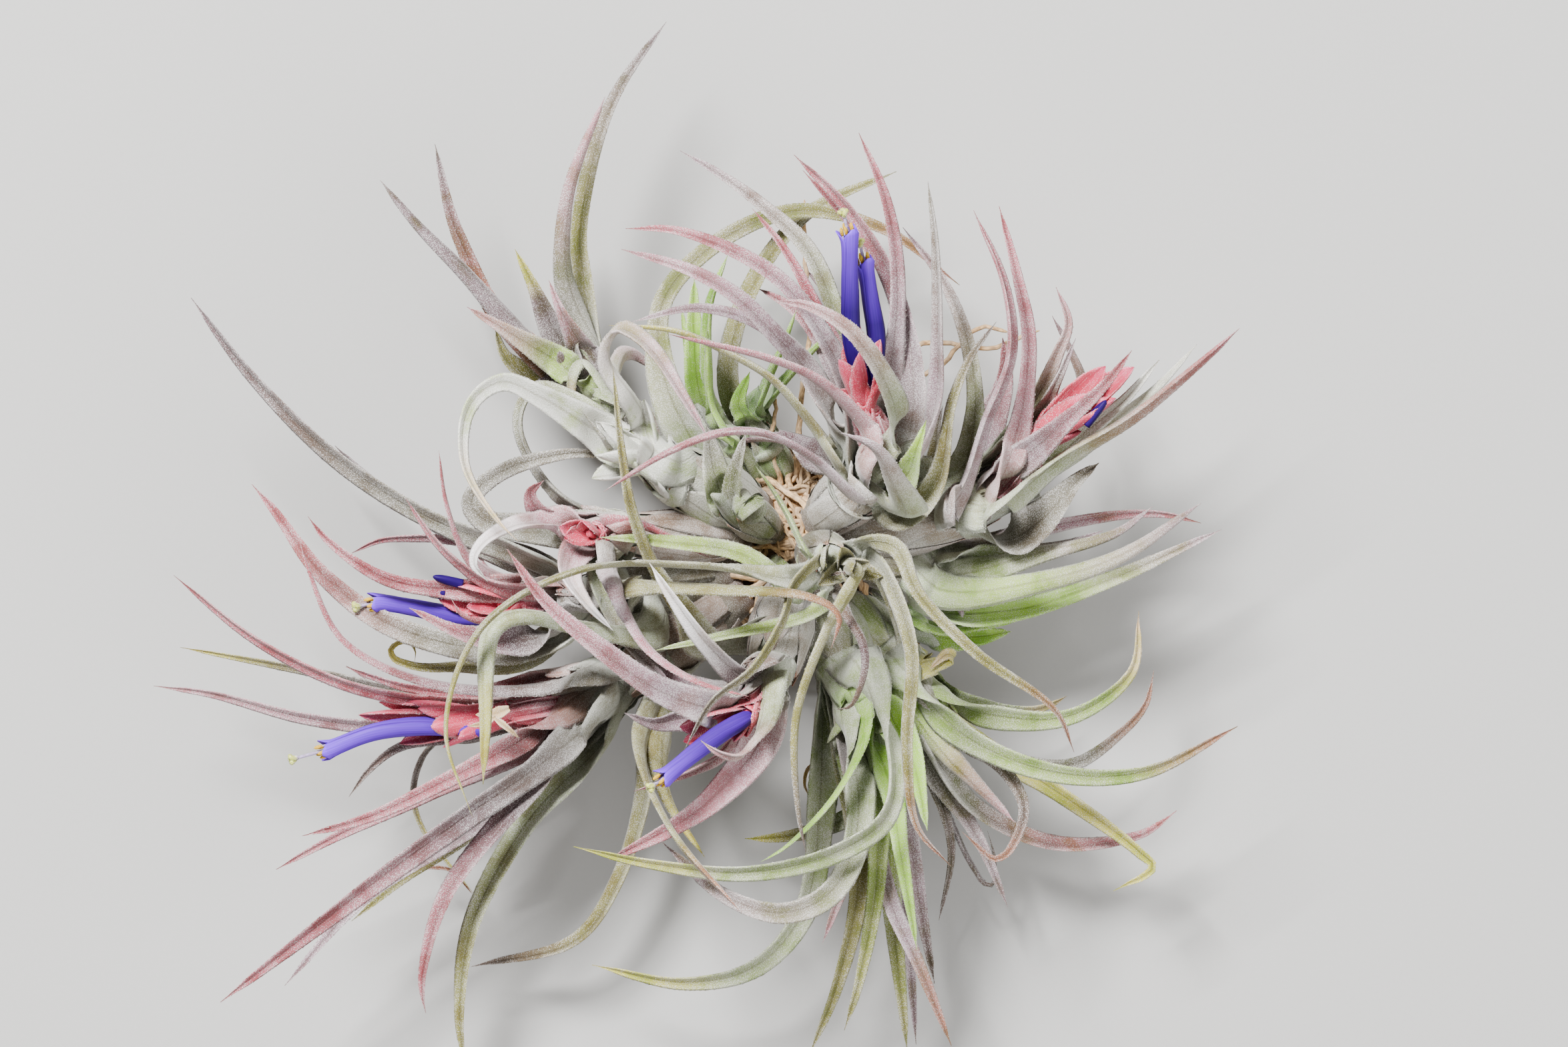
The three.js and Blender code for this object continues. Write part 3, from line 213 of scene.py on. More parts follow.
# Every rosette, in the order in which the solids are cut clear of one another.
ROSETTES = {
    "rosette_top": rosette(
        (6, 7, 30), (22, 20, 52), girth=8, leaves=[
            leaf("mauve rose", 4.2, (57, 72, 70), (14, 35), (10, 45), (0, 59.5), (-10, 66.5), (-25, 72.2),
                 (-36.2, 72.7)),
            leaf("mauve blush", 4.7, (57, 76, 78), (5, 40), (-3, 49), (-12, 57.8), (-22, 63.3), (-37, 68)),
            leaf("blush rose", 6, (60, 82, 86), (19, 25), (13, 33.5), (5, 40), (-5, 44), (-26.5, 49)),
            leaf("silver blush", 5.2, (66, 88, 90), (24.3, 28), (22, 38), (14, 49.5), (5, 55),
                 (-3.2, 56.4)),
            leaf("rose rose", 3, (54, 64, 66), (16, 34), (12, 43), (5, 58), (-1, 68.5), (-7.9, 77.3)),
            leaf("silver mauve", 4.2, (52, 56, 54), (16, 36), (12, 50), (5, 67.5), (-5, 77.5), (-15, 85),
                 (-24.2, 90.5)),
            leaf("mauve rose", 5, (52, 58, 58), (26, 24), (28, 42), (23, 62), (13, 78), (1.4, 89.5)),
            leaf("rose rose", 3.4, (46, 48, 48), (27, 33), (24, 58), (15, 73), (3.4, 86.2)),
            leaf("mauve rose", 3.5, (56, 66, 68), (23, 42), (24.5, 62), (22, 79), (15.9, 94.2)),
            leaf("mauve ash", 4.2, (56, 72, 74), (28, 21), (33, 34), (33.6, 50), (33, 70), (31.3, 83.2)),
            leaf("mauve rose", 5.2, (62, 84, 80), (15, 13), (5, 22), (-5, 27), (-15, 27), (-27, 22.5),
                 (-41, 14)),
            leaf("silver mauve", 7, (64, 86, 92), (26.5, 10), (24, 16), (19, 24), (12, 27)),
            leaf("olive straw", 5, (54, 64, 64), (11, 21.5), (5, 30), (-3, 39), (-12, 44.5), (-25, 50),
                 (-40, 51.2)),
            leaf("mauve mauve", 3.2, (53, 59, 58), (6, 38), (-6, 51), (-20, 55), (-35, 52)),
            leaf("silver mauve", 3.4, (50, 58, 60), (38, 18), (42, 30), (40.5, 47), (35, 61), (25.8, 73.2)),
            leaf("olive brown", 3.4, (54, 64, 66), (27, 9), (33.5, 16), (37, 34), (41, 44), (46.7, 52)),
            leaf("mint green", 3.4, (60, 68, 70), (26, 17), (29, 24), (31, 30)),
        ]),
    "rosette_right": rosette(
        (12, 4, 28), (44, 11, 38), girth=9, leaves=[
            leaf("mauve rose", 5.6, (46, 62, 64), (38, 12), (44.5, 30), (50, 45), (48.5, 60.5),
                 (41.6, 76.9)),
            leaf("blush rose", 3.6, (44, 54, 56), (46, 14), (51.5, 27), (54, 48), (51.5, 62), (47.4, 78)),
            leaf("silver blush", 3.8, (41, 46, 46), (52, 28), (60.5, 45), (63, 52), (60.3, 60)),
            leaf("silver mauve", 3, (36, 34, 34), (58, 26), (66, 38), (64, 45), (59.6, 53.7)),
            leaf("silver mauve", 3, (42, 50, 50), (54, 28), (60.5, 39), (64.7, 48.5)),
            leaf("mauve rose", 3.8, (48, 60, 64), (52, 21), (62, 29.5), (71, 38), (77, 45.6)),
            leaf("silver pearl", 3.4, (40, 44, 42), (60, 22), (68, 28.5), (75, 34), (83.6, 43.7)),
            leaf("silver pearl", 3, (38, 40, 38), (64, 23), (75, 31), (83, 37.5), (92.1, 47.2)),
            leaf("silver rose", 7.2, (44, 52, 54), (46, 10), (62, 21.5), (77, 30.5), (92, 42.5),
                 (101.4, 50.7)),
            # Its dark ash tint is painted shade, for the shaded leaf bases that it lies among
            leaf("ash ash", 6, (42, 46, 44), (50, 4), (57, 8), (65, 16.5), (70, 20.5)),
        ]),
    "rosette_right_low": rosette(
        (12, 0, 24), (33, -4, 30), girth=7, leaves=[
            leaf("mauve rose", 3.4, (32, 32, 30), (42, 2), (55, 5.5), (75, 9), (85, 9), (93.3, 7)),
            leaf("silver mauve", 4.6, (36, 42, 40), (35, -4.8), (58, 0.4), (74, 5), (82.2, 10.8), slim=0.8),
            leaf("mint mauve", 7, (36, 46, 46), (35, -8.2), (58, -5.9), (75.2, -0.2), (92.9, 11.5),
                 slim=0.75),
            leaf("green mauve", 5.4, (31, 33, 32), (30, -12), (52, -12.3), (72.3, -5.9), (97.8, 5.5),
                 slim=0.8),
            leaf("silver mauve", 3, (34, 38, 38), (46, -1), (62.5, 2.1), (71, 5.3)),
        ]),
    "pup_right_green": rosette(
        (14, -8, 20), (30, -18, 20), girth=4.5, bare=True, leaves=[
            leaf("green green", 5.6, (22, 25, 25), (34, -17.4), (43, -16.6), (51.3, -15.4)),
            leaf("green green", 5, (21, 21, 20), (34, -18.6), (43, -18.6), (50.6, -17.5)),
            leaf("green fern", 4, (20, 18, 18), (34, -16.4), (42, -15.8), (49, -14.7)),
        ]),
    "rosette_bottom_right": rosette(
        (10, -8, 24), (26, -26, 28), girth=7.5, leaves=[
            leaf("mint cream", 5.6, (34, 36, 30), (37.8, -33.5), (46.4, -36.4), (63.7, -36.4),
                 (77.4, -26.6), (79.2, -12.8), slim=0.8),
            leaf("ash dry", 3.4, (27, 24, 20), (44, -43), (63, -47.7), (75.2, -40.4), (80.9, -34),
                 (82.8, -26.3)),
            leaf("mint dry", 6.6, (38, 44, 40), (27, -28), (40, -41), (60, -49), (80, -49), (101.3, -38.7),
                 slim=0.8),
            leaf("straw straw", 4, (31, 30, 28), (40, -40), (60, -53), (78, -66), (83, -71.5), (80, -72.8),
                 (73.5, -76)),
            leaf("ash rose", 5.4, (28, 22, 20), (33, -45), (42, -57), (60, -65.5), (80, -63.5), (88, -58)),
            leaf("brown dry", 2.8, (35, 38, 42), (40, -42), (47.5, -47.1), (53.3, -57.5), (47.5, -68.7),
                 (39.2, -62.4)),
            leaf("mint blush", 5.4, (37, 40, 36), (34.3, -43.1), (40.6, -50), (51.1, -60.3)),
            leaf("ash mauve", 4, (27, 24, 18), (31.4, -47.1), (42.4, -63.2), (49.8, -79.8)),
            leaf("brown brown", 3, (26, 20, 14), (33, -52), (36.9, -66.6), (34.3, -83)),
            leaf("heather brown", 3.2, (24, 16, 20), (35, -56), (42, -71), (46, -75.8), (47, -70),
                 (45.2, -62.6)),
            leaf("straw cream", 2.6, (33, 35, 38), (29, -25), (33, -24.6), (37.5, -23.3), (36, -22.6),
                 (31.8, -26)),
        ]),
    "rosette_bottom": rosette(
        (6, -8, 28), (15, -28, 34), girth=9, leaves=[
            leaf("silver straw", 6.6, (44, 60, 64), (18, -28), (24, -46), (22.3, -58.6), (11.2, -66.6),
                 (-8.9, -71.2), (-31.8, -68.9), (-47.9, -65.3), slim=0.85),
            leaf("silver mauve", 6.4, (41, 54, 60), (12, -30), (16, -60), (10, -75.5), (-1, -80.4),
                 (-14, -76.5), (-28.1, -64.4)),
            leaf("silver straw", 6, (32, 28, 22), (8.5, -34.5), (7.3, -57.5), (3.8, -80.4), (-7.1, -93.1),
                 (-23.2, -96.8), (-44.2, -92.8)),
            leaf("green green", 4.2, (44, 58, 56), (17.3, -37.4), (11.2, -53.4), (-0.3, -65.5),
                 (-6, -68.9)),
            leaf("silver blush", 3.8, (31, 34, 32), (15, -50), (14.8, -68.9), (11.4, -78.1), (7.9, -87.6)),
            leaf("olive olive", 5.4, (31, 28, 20), (13, -45), (15.9, -74.7), (11.4, -96.5), (5, -113)),
            leaf("mint olive", 4.4, (38, 42, 36), (19, -45), (20, -71.8), (16, -96.5), (12.8, -107.1)),
            leaf("mint olive", 5, (33, 32, 22), (21, -50), (23.5, -80), (25.1, -94.8), (27, -112)),
            leaf("mauve dry", 4.4, (37, 38, 28), (17, -56), (23, -78), (29.7, -93), (37, -111)),
            leaf("mauve brown", 4.4, (30, 28, 22), (23, -45), (27, -62), (30.5, -83), (33.2, -97.1)),
            leaf("mauve mauve", 3.4, (27, 20, 14), (24, -60), (27, -85), (29.1, -111)),
            leaf("green green", 4, (40, 44, 38), (22, -48), (25.7, -68.9), (29.1, -89)),
            leaf("green green", 4.6, (44, 48, 46), (24, -38), (28, -46), (31.4, -62.1)),
        ]),
    "rosette_front_low": rosette(
        (1, -6, 31), (-4, -29, 58), girth=8.5, leaves=[
            leaf("mauve rose", 6, (68, 90, 92), (-12, -34), (-26.7, -31.2), (-41.1, -21.5), (-54.3, -10),
                 (-62.3, 1.2)),
            leaf("plum white", 5, (66, 82, 84), (-9.5, -27.2), (-18, -20), (-26.2, -8.8), (-30.7, -1.9)),
            leaf("mauve mauve", 4.6, (60, 62, 60), (-12, -36), (-23.3, -36.8), (-29.6, -37.8),
                 (-36.5, -35.5)),
            leaf("silver blush", 4.4, (72, 86, 88), (-5, -38), (-7.8, -42.1), (-11.2, -45), (-15.8, -43.8),
                 (-19.3, -41.3)),
            leaf("blush rose", 3, (58, 62, 64), (-14, -44), (-21, -48.4), (-34.5, -53)),
            leaf("blush rose", 5.4, (62, 66, 60), (-6.6, -42.2), (-16.4, -54.2), (-23.9, -59.9),
                 (-39.9, -68.4)),
            leaf("olive olive", 3, (50, 72, 78), (-18, -20), (-24, -12), (-30, -3), (-35, 10), (-37, 22),
                 (-39, 42)),
        ]),
    "rosette_lower_left": rosette(
        (-10, -8, 28), (-42, -31, 34), girth=9, leaves=[
            leaf("rose rose", 3.6, (37, 42, 44), (-60, -33), (-80, -33), (-100, -29), (-120, -19),
                 (-138, -4.7)),
            leaf("ash straw", 3, (33, 32, 30), (-65, -32), (-85, -31), (-107, -26.5), (-137, -21)),
            leaf("heather blush", 3.6, (34, 33, 30), (-62, -36), (-85, -39), (-108, -37), (-130, -31.5),
                 (-143, -29.7)),
            leaf("rose rose", 3, (38, 44, 44), (-70, -31), (-85, -30), (-92, -28), (-99.3, -25.3)),
            leaf("plum brown", 3, (30, 27, 24), (-70, -40), (-87.3, -43.3), (-94.2, -48.4), (-99.1, -54.8)),
            leaf("rose rose", 3.6, (38, 46, 46), (-57.5, -40.4), (-75.3, -50.1), (-94.2, -59.1),
                 (-109.1, -63.3)),
            leaf("blush rose", 3.4, (36, 38, 36), (-58, -42), (-80, -53.4), (-101.1, -63.3), (-115.2, -71)),
            leaf("heather rose", 6, (41, 50, 46), (-54.5, -46.6), (-71.7, -58.6), (-94.7, -75.3),
                 (-127.4, -100.6)),
            leaf("heather mauve", 4, (34, 36, 34), (-66, -58), (-94.7, -77), (-113.3, -97.2)),
            leaf("olive olive", 3.4, (31, 29, 26), (-60, -54), (-75, -65.5), (-86.1, -72.9),
                 (-98.5, -82.9)),
            leaf("heather rose", 5, (38, 42, 34), (-47.1, -41.4), (-62, -57.5), (-76.9, -77),
                 (-82.3, -96.5), (-81.5, -103.4)),
            leaf("silver olive", 5, (34, 32, 22), (-42.5, -43.1), (-57.9, -59.2), (-71.1, -83.3),
                 (-74, -103.4), (-73, -116)),
            leaf("brown straw", 2.4, (26, 18, 12), (-70, -42), (-80.4, -43.1), (-84.9, -53.4),
                 (-82.7, -62.1), (-71.1, -77)),
            leaf("heather rose", 6.2, (40, 56, 58), (-55, -30), (-82, -28.5), (-100, -19), (-107.5, -3),
                 (-109.4, 3.4)),
            leaf("olive dry", 4.6, (38, 66, 86), (-30, -33), (-33, -44.4), (-26.1, -61.5), (-10.6, -79.3)),
            leaf("olive straw", 4.4, (36, 50, 56), (-27, -33), (-29, -45), (-26.7, -55.2), (-18.6, -67.8)),
            leaf("olive brown", 5, (29, 24, 12), (-25, -25), (-32, -37.5), (-31.8, -51.7), (-38.1, -73.5),
                 (-47.9, -87.3), (-71.7, -93.5)),
        ]),
    "rosette_left": rosette(
        (-12, -4, 28), (-52, -11, 42), girth=8, leaves=[
            leaf("ash plum", 4.8, (46, 50, 46), (-60, 0), (-80, 8), (-100, 20.5), (-120, 39.7),
                 (-134, 57.6)),
            leaf("ash rose", 5, (42, 48, 48), (-50, -19), (-70, -21), (-90, -15.5), (-105, -4), (-115, 9.5),
                 (-120.3, 15.7)),
            leaf("rose rose", 3.4, (47, 54, 56), (-60, -7), (-73, -8), (-90, -5.5), (-103, 3),
                 (-107.5, 8.5)),
            leaf("heather rose", 2.8, (44, 44, 42), (-62, 1), (-75, 3.5), (-85, 3.7), (-92, 3), (-98.5, 0)),
            leaf("rose rose", 3, (48, 58, 60), (-60, -8), (-68, -6), (-78, 2), (-85.5, 12.5)),
            leaf("blush rose", 3, (48, 60, 64), (-64, -6), (-72, 0), (-76.5, 12), (-78, 23.3)),
            leaf("heather rose", 4.2, (48, 56, 60), (-58, -19), (-72.4, -18), (-84.7, -12)),
            leaf("heather rose", 4.2, (50, 60, 64), (-60, -15), (-68.4, -15.2), (-73, -13.4), (-75, -10.3)),
            leaf("olive straw", 2.4, (40, 38, 42), (-60, -24), (-75.2, -25.5), (-84, -25.3), (-89.6, -22.6),
                 (-88, -20), (-84, -20.4), (-83.9, -24.3)),
            leaf("olive dry", 4.8, (58, 78, 82), (-36, -7), (-15.5, -7.7), (5.2, -9.4), (11.5, -13.5),
                 (9.7, -20.9)),
            leaf("silver straw", 6.2, (52, 78, 76), (-30, -17.5), (-45, -16.4), (-60, -13.6), (-66, -16.6),
                 (-67.5, -38.7), (-67.9, -51.3)),
        ]),
    "rosette_left_back": rosette(
        (-10, 3, 31), (-42, 5, 52), girth=7, leaves=[
            leaf("blush white", 5.2, (60, 72, 72), (-51.4, 7), (-61.2, 6.5), (-68.5, 2), (-70, -2),
                 (-66.9, -6)),
            leaf("ash ash", 4, (50, 52, 58), (-58, 6), (-68, 7.6), (-71, 12), (-65, 18), (-50, 22.5),
                 (-37, 22)),
            leaf("blush rose", 4.2, (53, 60, 66), (-50, 8), (-56, 10), (-57.5, 14), (-54.5, 16.5)),
            leaf("rose rose", 3.4, (60, 66, 68), (-40, 7), (-33.6, 6.7), (-26.7, 3.8), (-17.3, -0.8)),
            leaf("mauve rose", 5.2, (58, 68, 72), (-40, 0), (-37.5, -10), (-30.8, -21.5), (-20, -28.5),
                 (-8.7, -31.7)),
            leaf("blush white", 4.2, (57, 66, 68), (-46, 2), (-49, -4), (-45, -11), (-39, -17)),
            leaf("silver mauve", 5, (52, 54, 52), (-42, -3), (-39.5, -13), (-34, -22), (-26, -29)),
            leaf("ash silver", 4.2, (46, 48, 62), (-50, 12), (-57, 20), (-60.5, 30), (-57, 37), (-48, 35),
                 (-40, 30.5), (-32, 25)),
        ]),
    "rosette_upper_left": rosette(
        (-11, 11, 22), (-44, 37, 30), girth=7, leaves=[
            leaf("heather heather", 5.8, (32, 44, 46), (-50, 43), (-60, 50), (-73, 64), (-83, 74),
                 (-91.5, 84)),
            leaf("rust heather", 3.6, (29, 31, 32), (-55, 44), (-66, 55), (-73, 69), (-76, 77),
                 (-79.5, 92.5)),
            leaf("heather straw", 3.6, (33, 40, 42), (-48, 44), (-53, 51), (-57, 60), (-61.3, 68.6)),
            leaf("heather blush", 3, (35, 43, 45), (-45, 45), (-47, 48), (-51, 55), (-53.7, 61.7)),
            leaf("olive heather", 4.4, (29, 36, 32), (-43, 46), (-46, 63), (-46.8, 72), (-43, 92),
                 (-38, 104.5), (-27.3, 120)),
            leaf("ash blush", 4.8, (32, 44, 44), (-45, 49), (-50, 62), (-50, 75), (-48, 85), (-41, 102.8)),
            leaf("mint blush", 4, (34, 44, 48), (-50, 42), (-58, 47), (-67, 52.5), (-72, 55.5)),
            leaf("olive olive", 4.4, (27, 30, 30), (-55, 37), (-60, 41), (-64, 45), (-66, 51)),
            leaf("silver dry", 4.2, (36, 42, 36), (-46, 43), (-48.5, 40), (-48.6, 34), (-47, 30)),
        ]),
    "rosette_pale_left": rosette(
        (-7, 9, 29), (-27, 19, 48), girth=9.5, leaves=[
            leaf("pearl blush", 7, (52, 74, 80), (-29, 22), (-35, 34), (-41, 44), (-38, 50.5), (-31, 46.5),
                 (-22, 33), (-17.5, 25.5)),
            leaf("pearl cream", 7, (48, 72, 86), (-36, 23), (-45, 29), (-55, 35), (-64, 38.5), (-71, 33),
                 (-72, 20), (-65, 8), (-60, 3), slim=0.68),
            leaf("pearl ash", 3.6, (52, 58, 62), (-33, 20), (-38, 22), (-42, 27), (-46, 32)),
            leaf("olive dry", 5, (34, 30, 40), (-22, 26), (-28.5, 42), (-28, 57), (-16, 70), (2, 77.3),
                 (22, 73), (38.7, 60.5), slim=0.78),
        ]),
    "pup_bright_green": rosette(
        (-6, 14, 22), (-17, 29, 32), girth=4.5, bare=True, leaves=[
            leaf("green green", 4.4, (35, 44, 46), (-17, 34), (-18, 42), (-17.5, 56), (-13.4, 67.3)),
            leaf("green green", 4.6, (34, 38, 38), (-19, 34), (-21, 50), (-21, 62)),
            leaf("green green", 3.6, (33, 34, 34), (-20, 34), (-22, 42), (-24, 56)),
            leaf("green green", 4, (37, 46, 50), (-17, 33), (-18, 42), (-18, 51.5)),
        ]),
    "pup_dark_green": rosette(
        (0, 16, 22), (-7, 28, 30), girth=4.5, bare=True, leaves=[
            leaf("fern green", 4.6, (33, 38, 38), (-7, 31), (-5, 38), (-1, 47), (2, 55)),
            leaf("fern green", 4.2, (33, 36, 36), (-6, 31), (-4, 35), (2, 42), (8, 48), (12, 50.5)),
            leaf("fern green", 4.6, (35, 40, 42), (-9, 30), (-11, 34), (-8.5, 41)),
            leaf("olive olive", 4.8, (29, 26, 28), (-12, 34), (-13, 45), (-6, 64), (5, 77), (24.6, 86.3)),
        ]),
    "pup_pale": rosette(
        (-3, 5, 32), (-13, 11, 50), girth=5.5, bare=True, longer=7, leaves=[
            leaf("silver ash", 8, (52, 56, 56), (-14, 12), (-16, 17), (-17, 22)),
            leaf("silver ash", 6, (53, 58, 60), (-12, 13), (-12, 17), (-11, 21)),
        ]),
    "rosette_front": rosette(
        (5, 1, 32), (12, -2, 58), girth=6.5, clasp=0.45, leaves=[
            leaf("olive dry", 5.2, (64, 72, 66), (19, -1), (21.2, -3), (27.8, -20.9), (26.9, -43.1),
                 (29.1, -60.9), (36.5, -69.6), slim=0.75),
            leaf("olive brown", 4.8, (66, 78, 72), (16.6, -2.5), (8.6, -17.4), (2, -36.3), (2.3, -56.3),
                 (4.1, -66.6), slim=0.85),
            leaf("olive brown", 4.2, (68, 86, 88), (8, 0), (1, -7), (-1, -14), (-8, -25.5), (-16.7, -32.4),
                 (-23, -43.5), slim=0.8),
            leaf("plum brown", 2.8, (63, 70, 68), (13.2, -12.8), (17, -20), (17.3, -26), (14, -34),
                 (10.3, -34.6)),
            leaf("mint mint", 3.4, (61, 62, 64), (6.9, -12.3), (-15.5, -18.6), (-29.6, -21.5)),
            leaf("mint mint", 4, (62, 64, 64), (3, -8.8), (-9.8, -0.2), (-30, 3), (-42, 3.8)),
            leaf("olive straw", 6, (64, 86, 80), (2, -5.4), (-18.2, -2.5), (-46.8, -3.6), (-68.1, -16.3),
                 (-76.1, -38.7), (-70.2, -58.5), slim=0.72),
            leaf("olive dry", 4.2, (65, 72, 58), (18, 3), (24.3, 1.5), (28.7, -8.2), (41.9, -22),
                 (59.6, -34.7), (64.2, -44.4), slim=0.6),
            leaf("mint mint", 3.4, (60, 62, 62), (6, -1), (4, 1), (0, 9), (-3, 14), (-7, 19.5)),
        ]),
}
# A spike of bracts: its stalk, from the rosette's heart, and each bract's width and tip. Those that
# cover others are grown in the finer form alone.
SPIKES = {
    "bracts_top": {
        "stalk": ((22, 20, 54), (17, 33, 62)), "radius": 3, "bracts": (
            (4.6, (11.5, 43.5, 70)), (4, (13.5, 49, 68)), (4.2, (16, 45, 72)),
            (3.4, (15.5, 53, 68)), (4.4, (20.8, 48, 66)), (4, (22.5, 42, 68)),
        ),
    },
    "bracts_right": {
        "stalk": ((45, 12, 40), (56, 25, 46)), "radius": 3.4, "bracts": (
            (5, (71.4, 42.2, 49)), (4.6, (66, 39.5, 46)), (5, (68, 36, 54)),
            (5, (77.9, 42, 47)), (5, (73.7, 35, 50)), (4.6, (66, 27.5, 48)),
        ),
        "cover": ((5, (70, 32, 51)), (5, (63, 35, 50))),
    },
    "bracts_front_low": {
        "stalk": ((-3, -30, 60), (-9, -35.5, 67)), "radius": 3.4, "bracts": (
            (5, (-24.1, -38.4, 73)), (4.4, (-23.3, -41.8, 69)), (4.4, (-20, -39, 66)),
            (4.2, (-12, -41.8, 70)),
        ),
    },
    "bracts_lower_left": {
        "stalk": ((-46, -33, 35), (-66, -36.6, 39)), "radius": 3, "bracts": (
            (4.6, (-96.5, -36.1, 41)), (4.2, (-91.9, -33.2, 40)), (4.4, (-85, -33, 44)),
            (4.4, (-87.3, -42.7, 40)), (4.2, (-77.5, -43.5, 42)), (4, (-79, -36, 45)),
        ),
        "cover": ((5.4, (-80, -38.8, 48.4)), (4.6, (-83, -34.6, 46)), (4.6, (-74, -41.5, 46))),
    },
    "bracts_left": {
        "stalk": ((-53, -11, 43), (-61, -11, 47)), "radius": 2.8, "bracts": (
            (4.8, (-75, -7, 52)), (4.8, (-78.7, -9.4, 50)), (4, (-74, -13, 48)), (3.6, (-70, -7, 48)),
        ),
        "cover": ((4.4, (-72, -11.8, 50.5)), (4, (-70, -14.5, 49))),
    },
    "bracts_left_back": {
        "stalk": ((-40, 4.5, 54), (-43, 4.6, 59)), "radius": 2.4, "bracts": (
            (4, (-51, 6.2, 64)), (3.8, (-50, 3.6, 63)), (3.4, (-46, 7.4, 65)),
        ),
    },
}

# A flower: its tube's route from among the bracts to its mouth, and where its stigma ends.
FLOWERS = {
    "top_left": (((17, 38, 64.5), (14.5, 47, 68), (13.9, 60, 71), (13.7, 71, 73)), (12.5, 75.8, 74.5)),
    "top_right": (((19, 38, 62), (19.9, 48, 63), (18.5, 57, 64), (17.3, 64.5, 65)), (16.2, 69.3, 66)),
    "front_low": (
        ((-10, -37, 70.5), (-14.7, -39.8, 73.5), (-21, -44.4, 76.5), (-27, -49.3, 79)),
        (-30.2, -51.6, 80),
    ),
    "lower_left": (
        ((-70, -39.4, 42.5), (-82.1, -38.6, 44.5), (-93, -40, 46), (-103.1, -43.8, 47)),
        (-110.8, -45.9, 48),
    ),
    "left": (
        ((-66, -14, 46.5), (-74, -13.9, 46.5), (-83.9, -12, 47.5), (-91.9, -10.8, 48)),
        (-96.5, -11.7, 48.5),
    ),
}

# How far the violet of a flower's petals goes towards lavender: painted light, which makes the flowers other
# than the two at the top paler, as if more brightly lit
PETAL_PAINTED_LIGHT = {"front_low": 0.25, "lower_left": 0.45, "left": 0.35}

# Closed petal tips between the bracts: where each starts and where it points.
BUD_TIPS = {
    "bud_right": ((67, 29, 50), (71.5, 34.5, 51.5)),
    "bud_left_high": ((-73, -6.6, 52), (-79.5, -5, 53.5)),
    "bud_left_low": ((-77, -9, 50.3), (-81.5, -8.6, 50.8)),
}

# Loose roots that stand out of the crown among the leaves.
LOOSE_ROOTS = (
    ((2, 20, 26), (3, 35, 24), (5, 50, 22), (4.2, 62, 22), (3.8, 80, 24)),
    ((-2, 18, 28), (-3.5, 24, 30), (-2.5, 35, 30)),
    ((12, 16, 22), (20, 29, 20), (28, 38.5, 21), (36, 44, 22), (43, 51, 24), (50, 50, 25)),
    ((14, 12, 18), (24, 36, 16), (29, 47, 17), (36, 47.5, 18), (45, 46.5, 19), (57, 50.5, 20)),
)
# Papery flakes and withered curls that lie on a rosette: tint, width and the line of each.
REMAINS = {
    "rosette_lower_left": (
        ("cream", 2.8, ((-62.5, -34.6, 49), (-66.5, -36, 50.5), (-70, -36, 50))),
        ("cream", 1.6, ((-66, -36.5, 50.5), (-63.5, -38.5, 51), (-60.3, -41.2, 49))),
        ("cream", 1.6, ((-65.5, -36.5, 50.6), (-68.5, -38, 51), (-71.5, -38.6, 49.5))),
        ("dry", 1, ((-84, -71.3, 12), (-80, -71, 12.5), (-76, -71.8, 12), (-71.5, -77, 10))),
    ),
    "rosette_front": (
        ("brown", 0.9, ((9.8, -4.7, 65), (11.5, -4.2, 66.5), (13.5, -4.2, 66.5), (14, -5.2, 65))),
        ("cream", 1, ((7.4, -46.8, 30), (4.6, -48.4, 31.5), (3.8, -51.6, 31.5), (4.8, -54.6, 30))),
    ),
}
CROWN_CENTRE = (0, 0, 6)
CROWN_RADII = (24, 22, 28)

# How thickly pale scales cover the leaves of each tint
FROST = {
    "sheath": 0.5, "silver": 0.36, "pearl": 0.65, "ash": 0.34, "mauve": 0.38, "heather": 0.24, "blush": 0.32,
    "rose": 0.22, "plum": 0.2, "white": 0.9, "mint": 0.24, "green": 0.12, "fern": 0.12, "olive": 0.17,
    "straw": 0.16, "cream": 0.2, "rust": 0.1, "dry": 0.12, "brown": 0.12,
}
WITHERED = ("straw", "cream", "rust", "dry", "brown")  # tints that only a leaf's last quarter takes

# Each leaf finish: what its tint is multiplied by where it is rubbed bare, and the rosettes that wear it
LEAF_FINISHES = {
    "leaf_mauve": ((0.85, 0.72, 0.6), (
        "rosette_top", "rosette_right", "rosette_front_low", "rosette_lower_left", "rosette_left",
        "rosette_left_back",
    )),
    "leaf_silver": ((0.75, 0.9, 0.35), (
        "rosette_right_low", "rosette_bottom_right", "rosette_bottom", "rosette_upper_left",
        "rosette_pale_left", "pup_pale",
    )),
    "leaf_green": ((0.7, 0.85, 0.5), ("pup_right_green", "pup_bright_green", "pup_dark_green")),
    "leaf_olive": ((0.85, 0.82, 0.45), ("rosette_front",)),
}


def smoothstep(share):
    share = np.clip(share, 0, 1)
    return share * share * (3 - 2 * share)


def unit(vectors):
    vectors = np.asarray(vectors, float)
    return vectors / np.maximum(np.linalg.norm(vectors, axis=-1, keepdims=True), 1e-9)


def dot(first, second):
    return np.sum(first * second, axis=-1, keepdims=True)


def length_of(points):
    return np.linalg.norm(np.diff(points, axis=0), axis=1).sum()


def lengths_along(points):
    """How far along a row of points each of them lies."""
    return np.concatenate([[0], np.cumsum(np.linalg.norm(np.diff(points, axis=0), axis=1))])


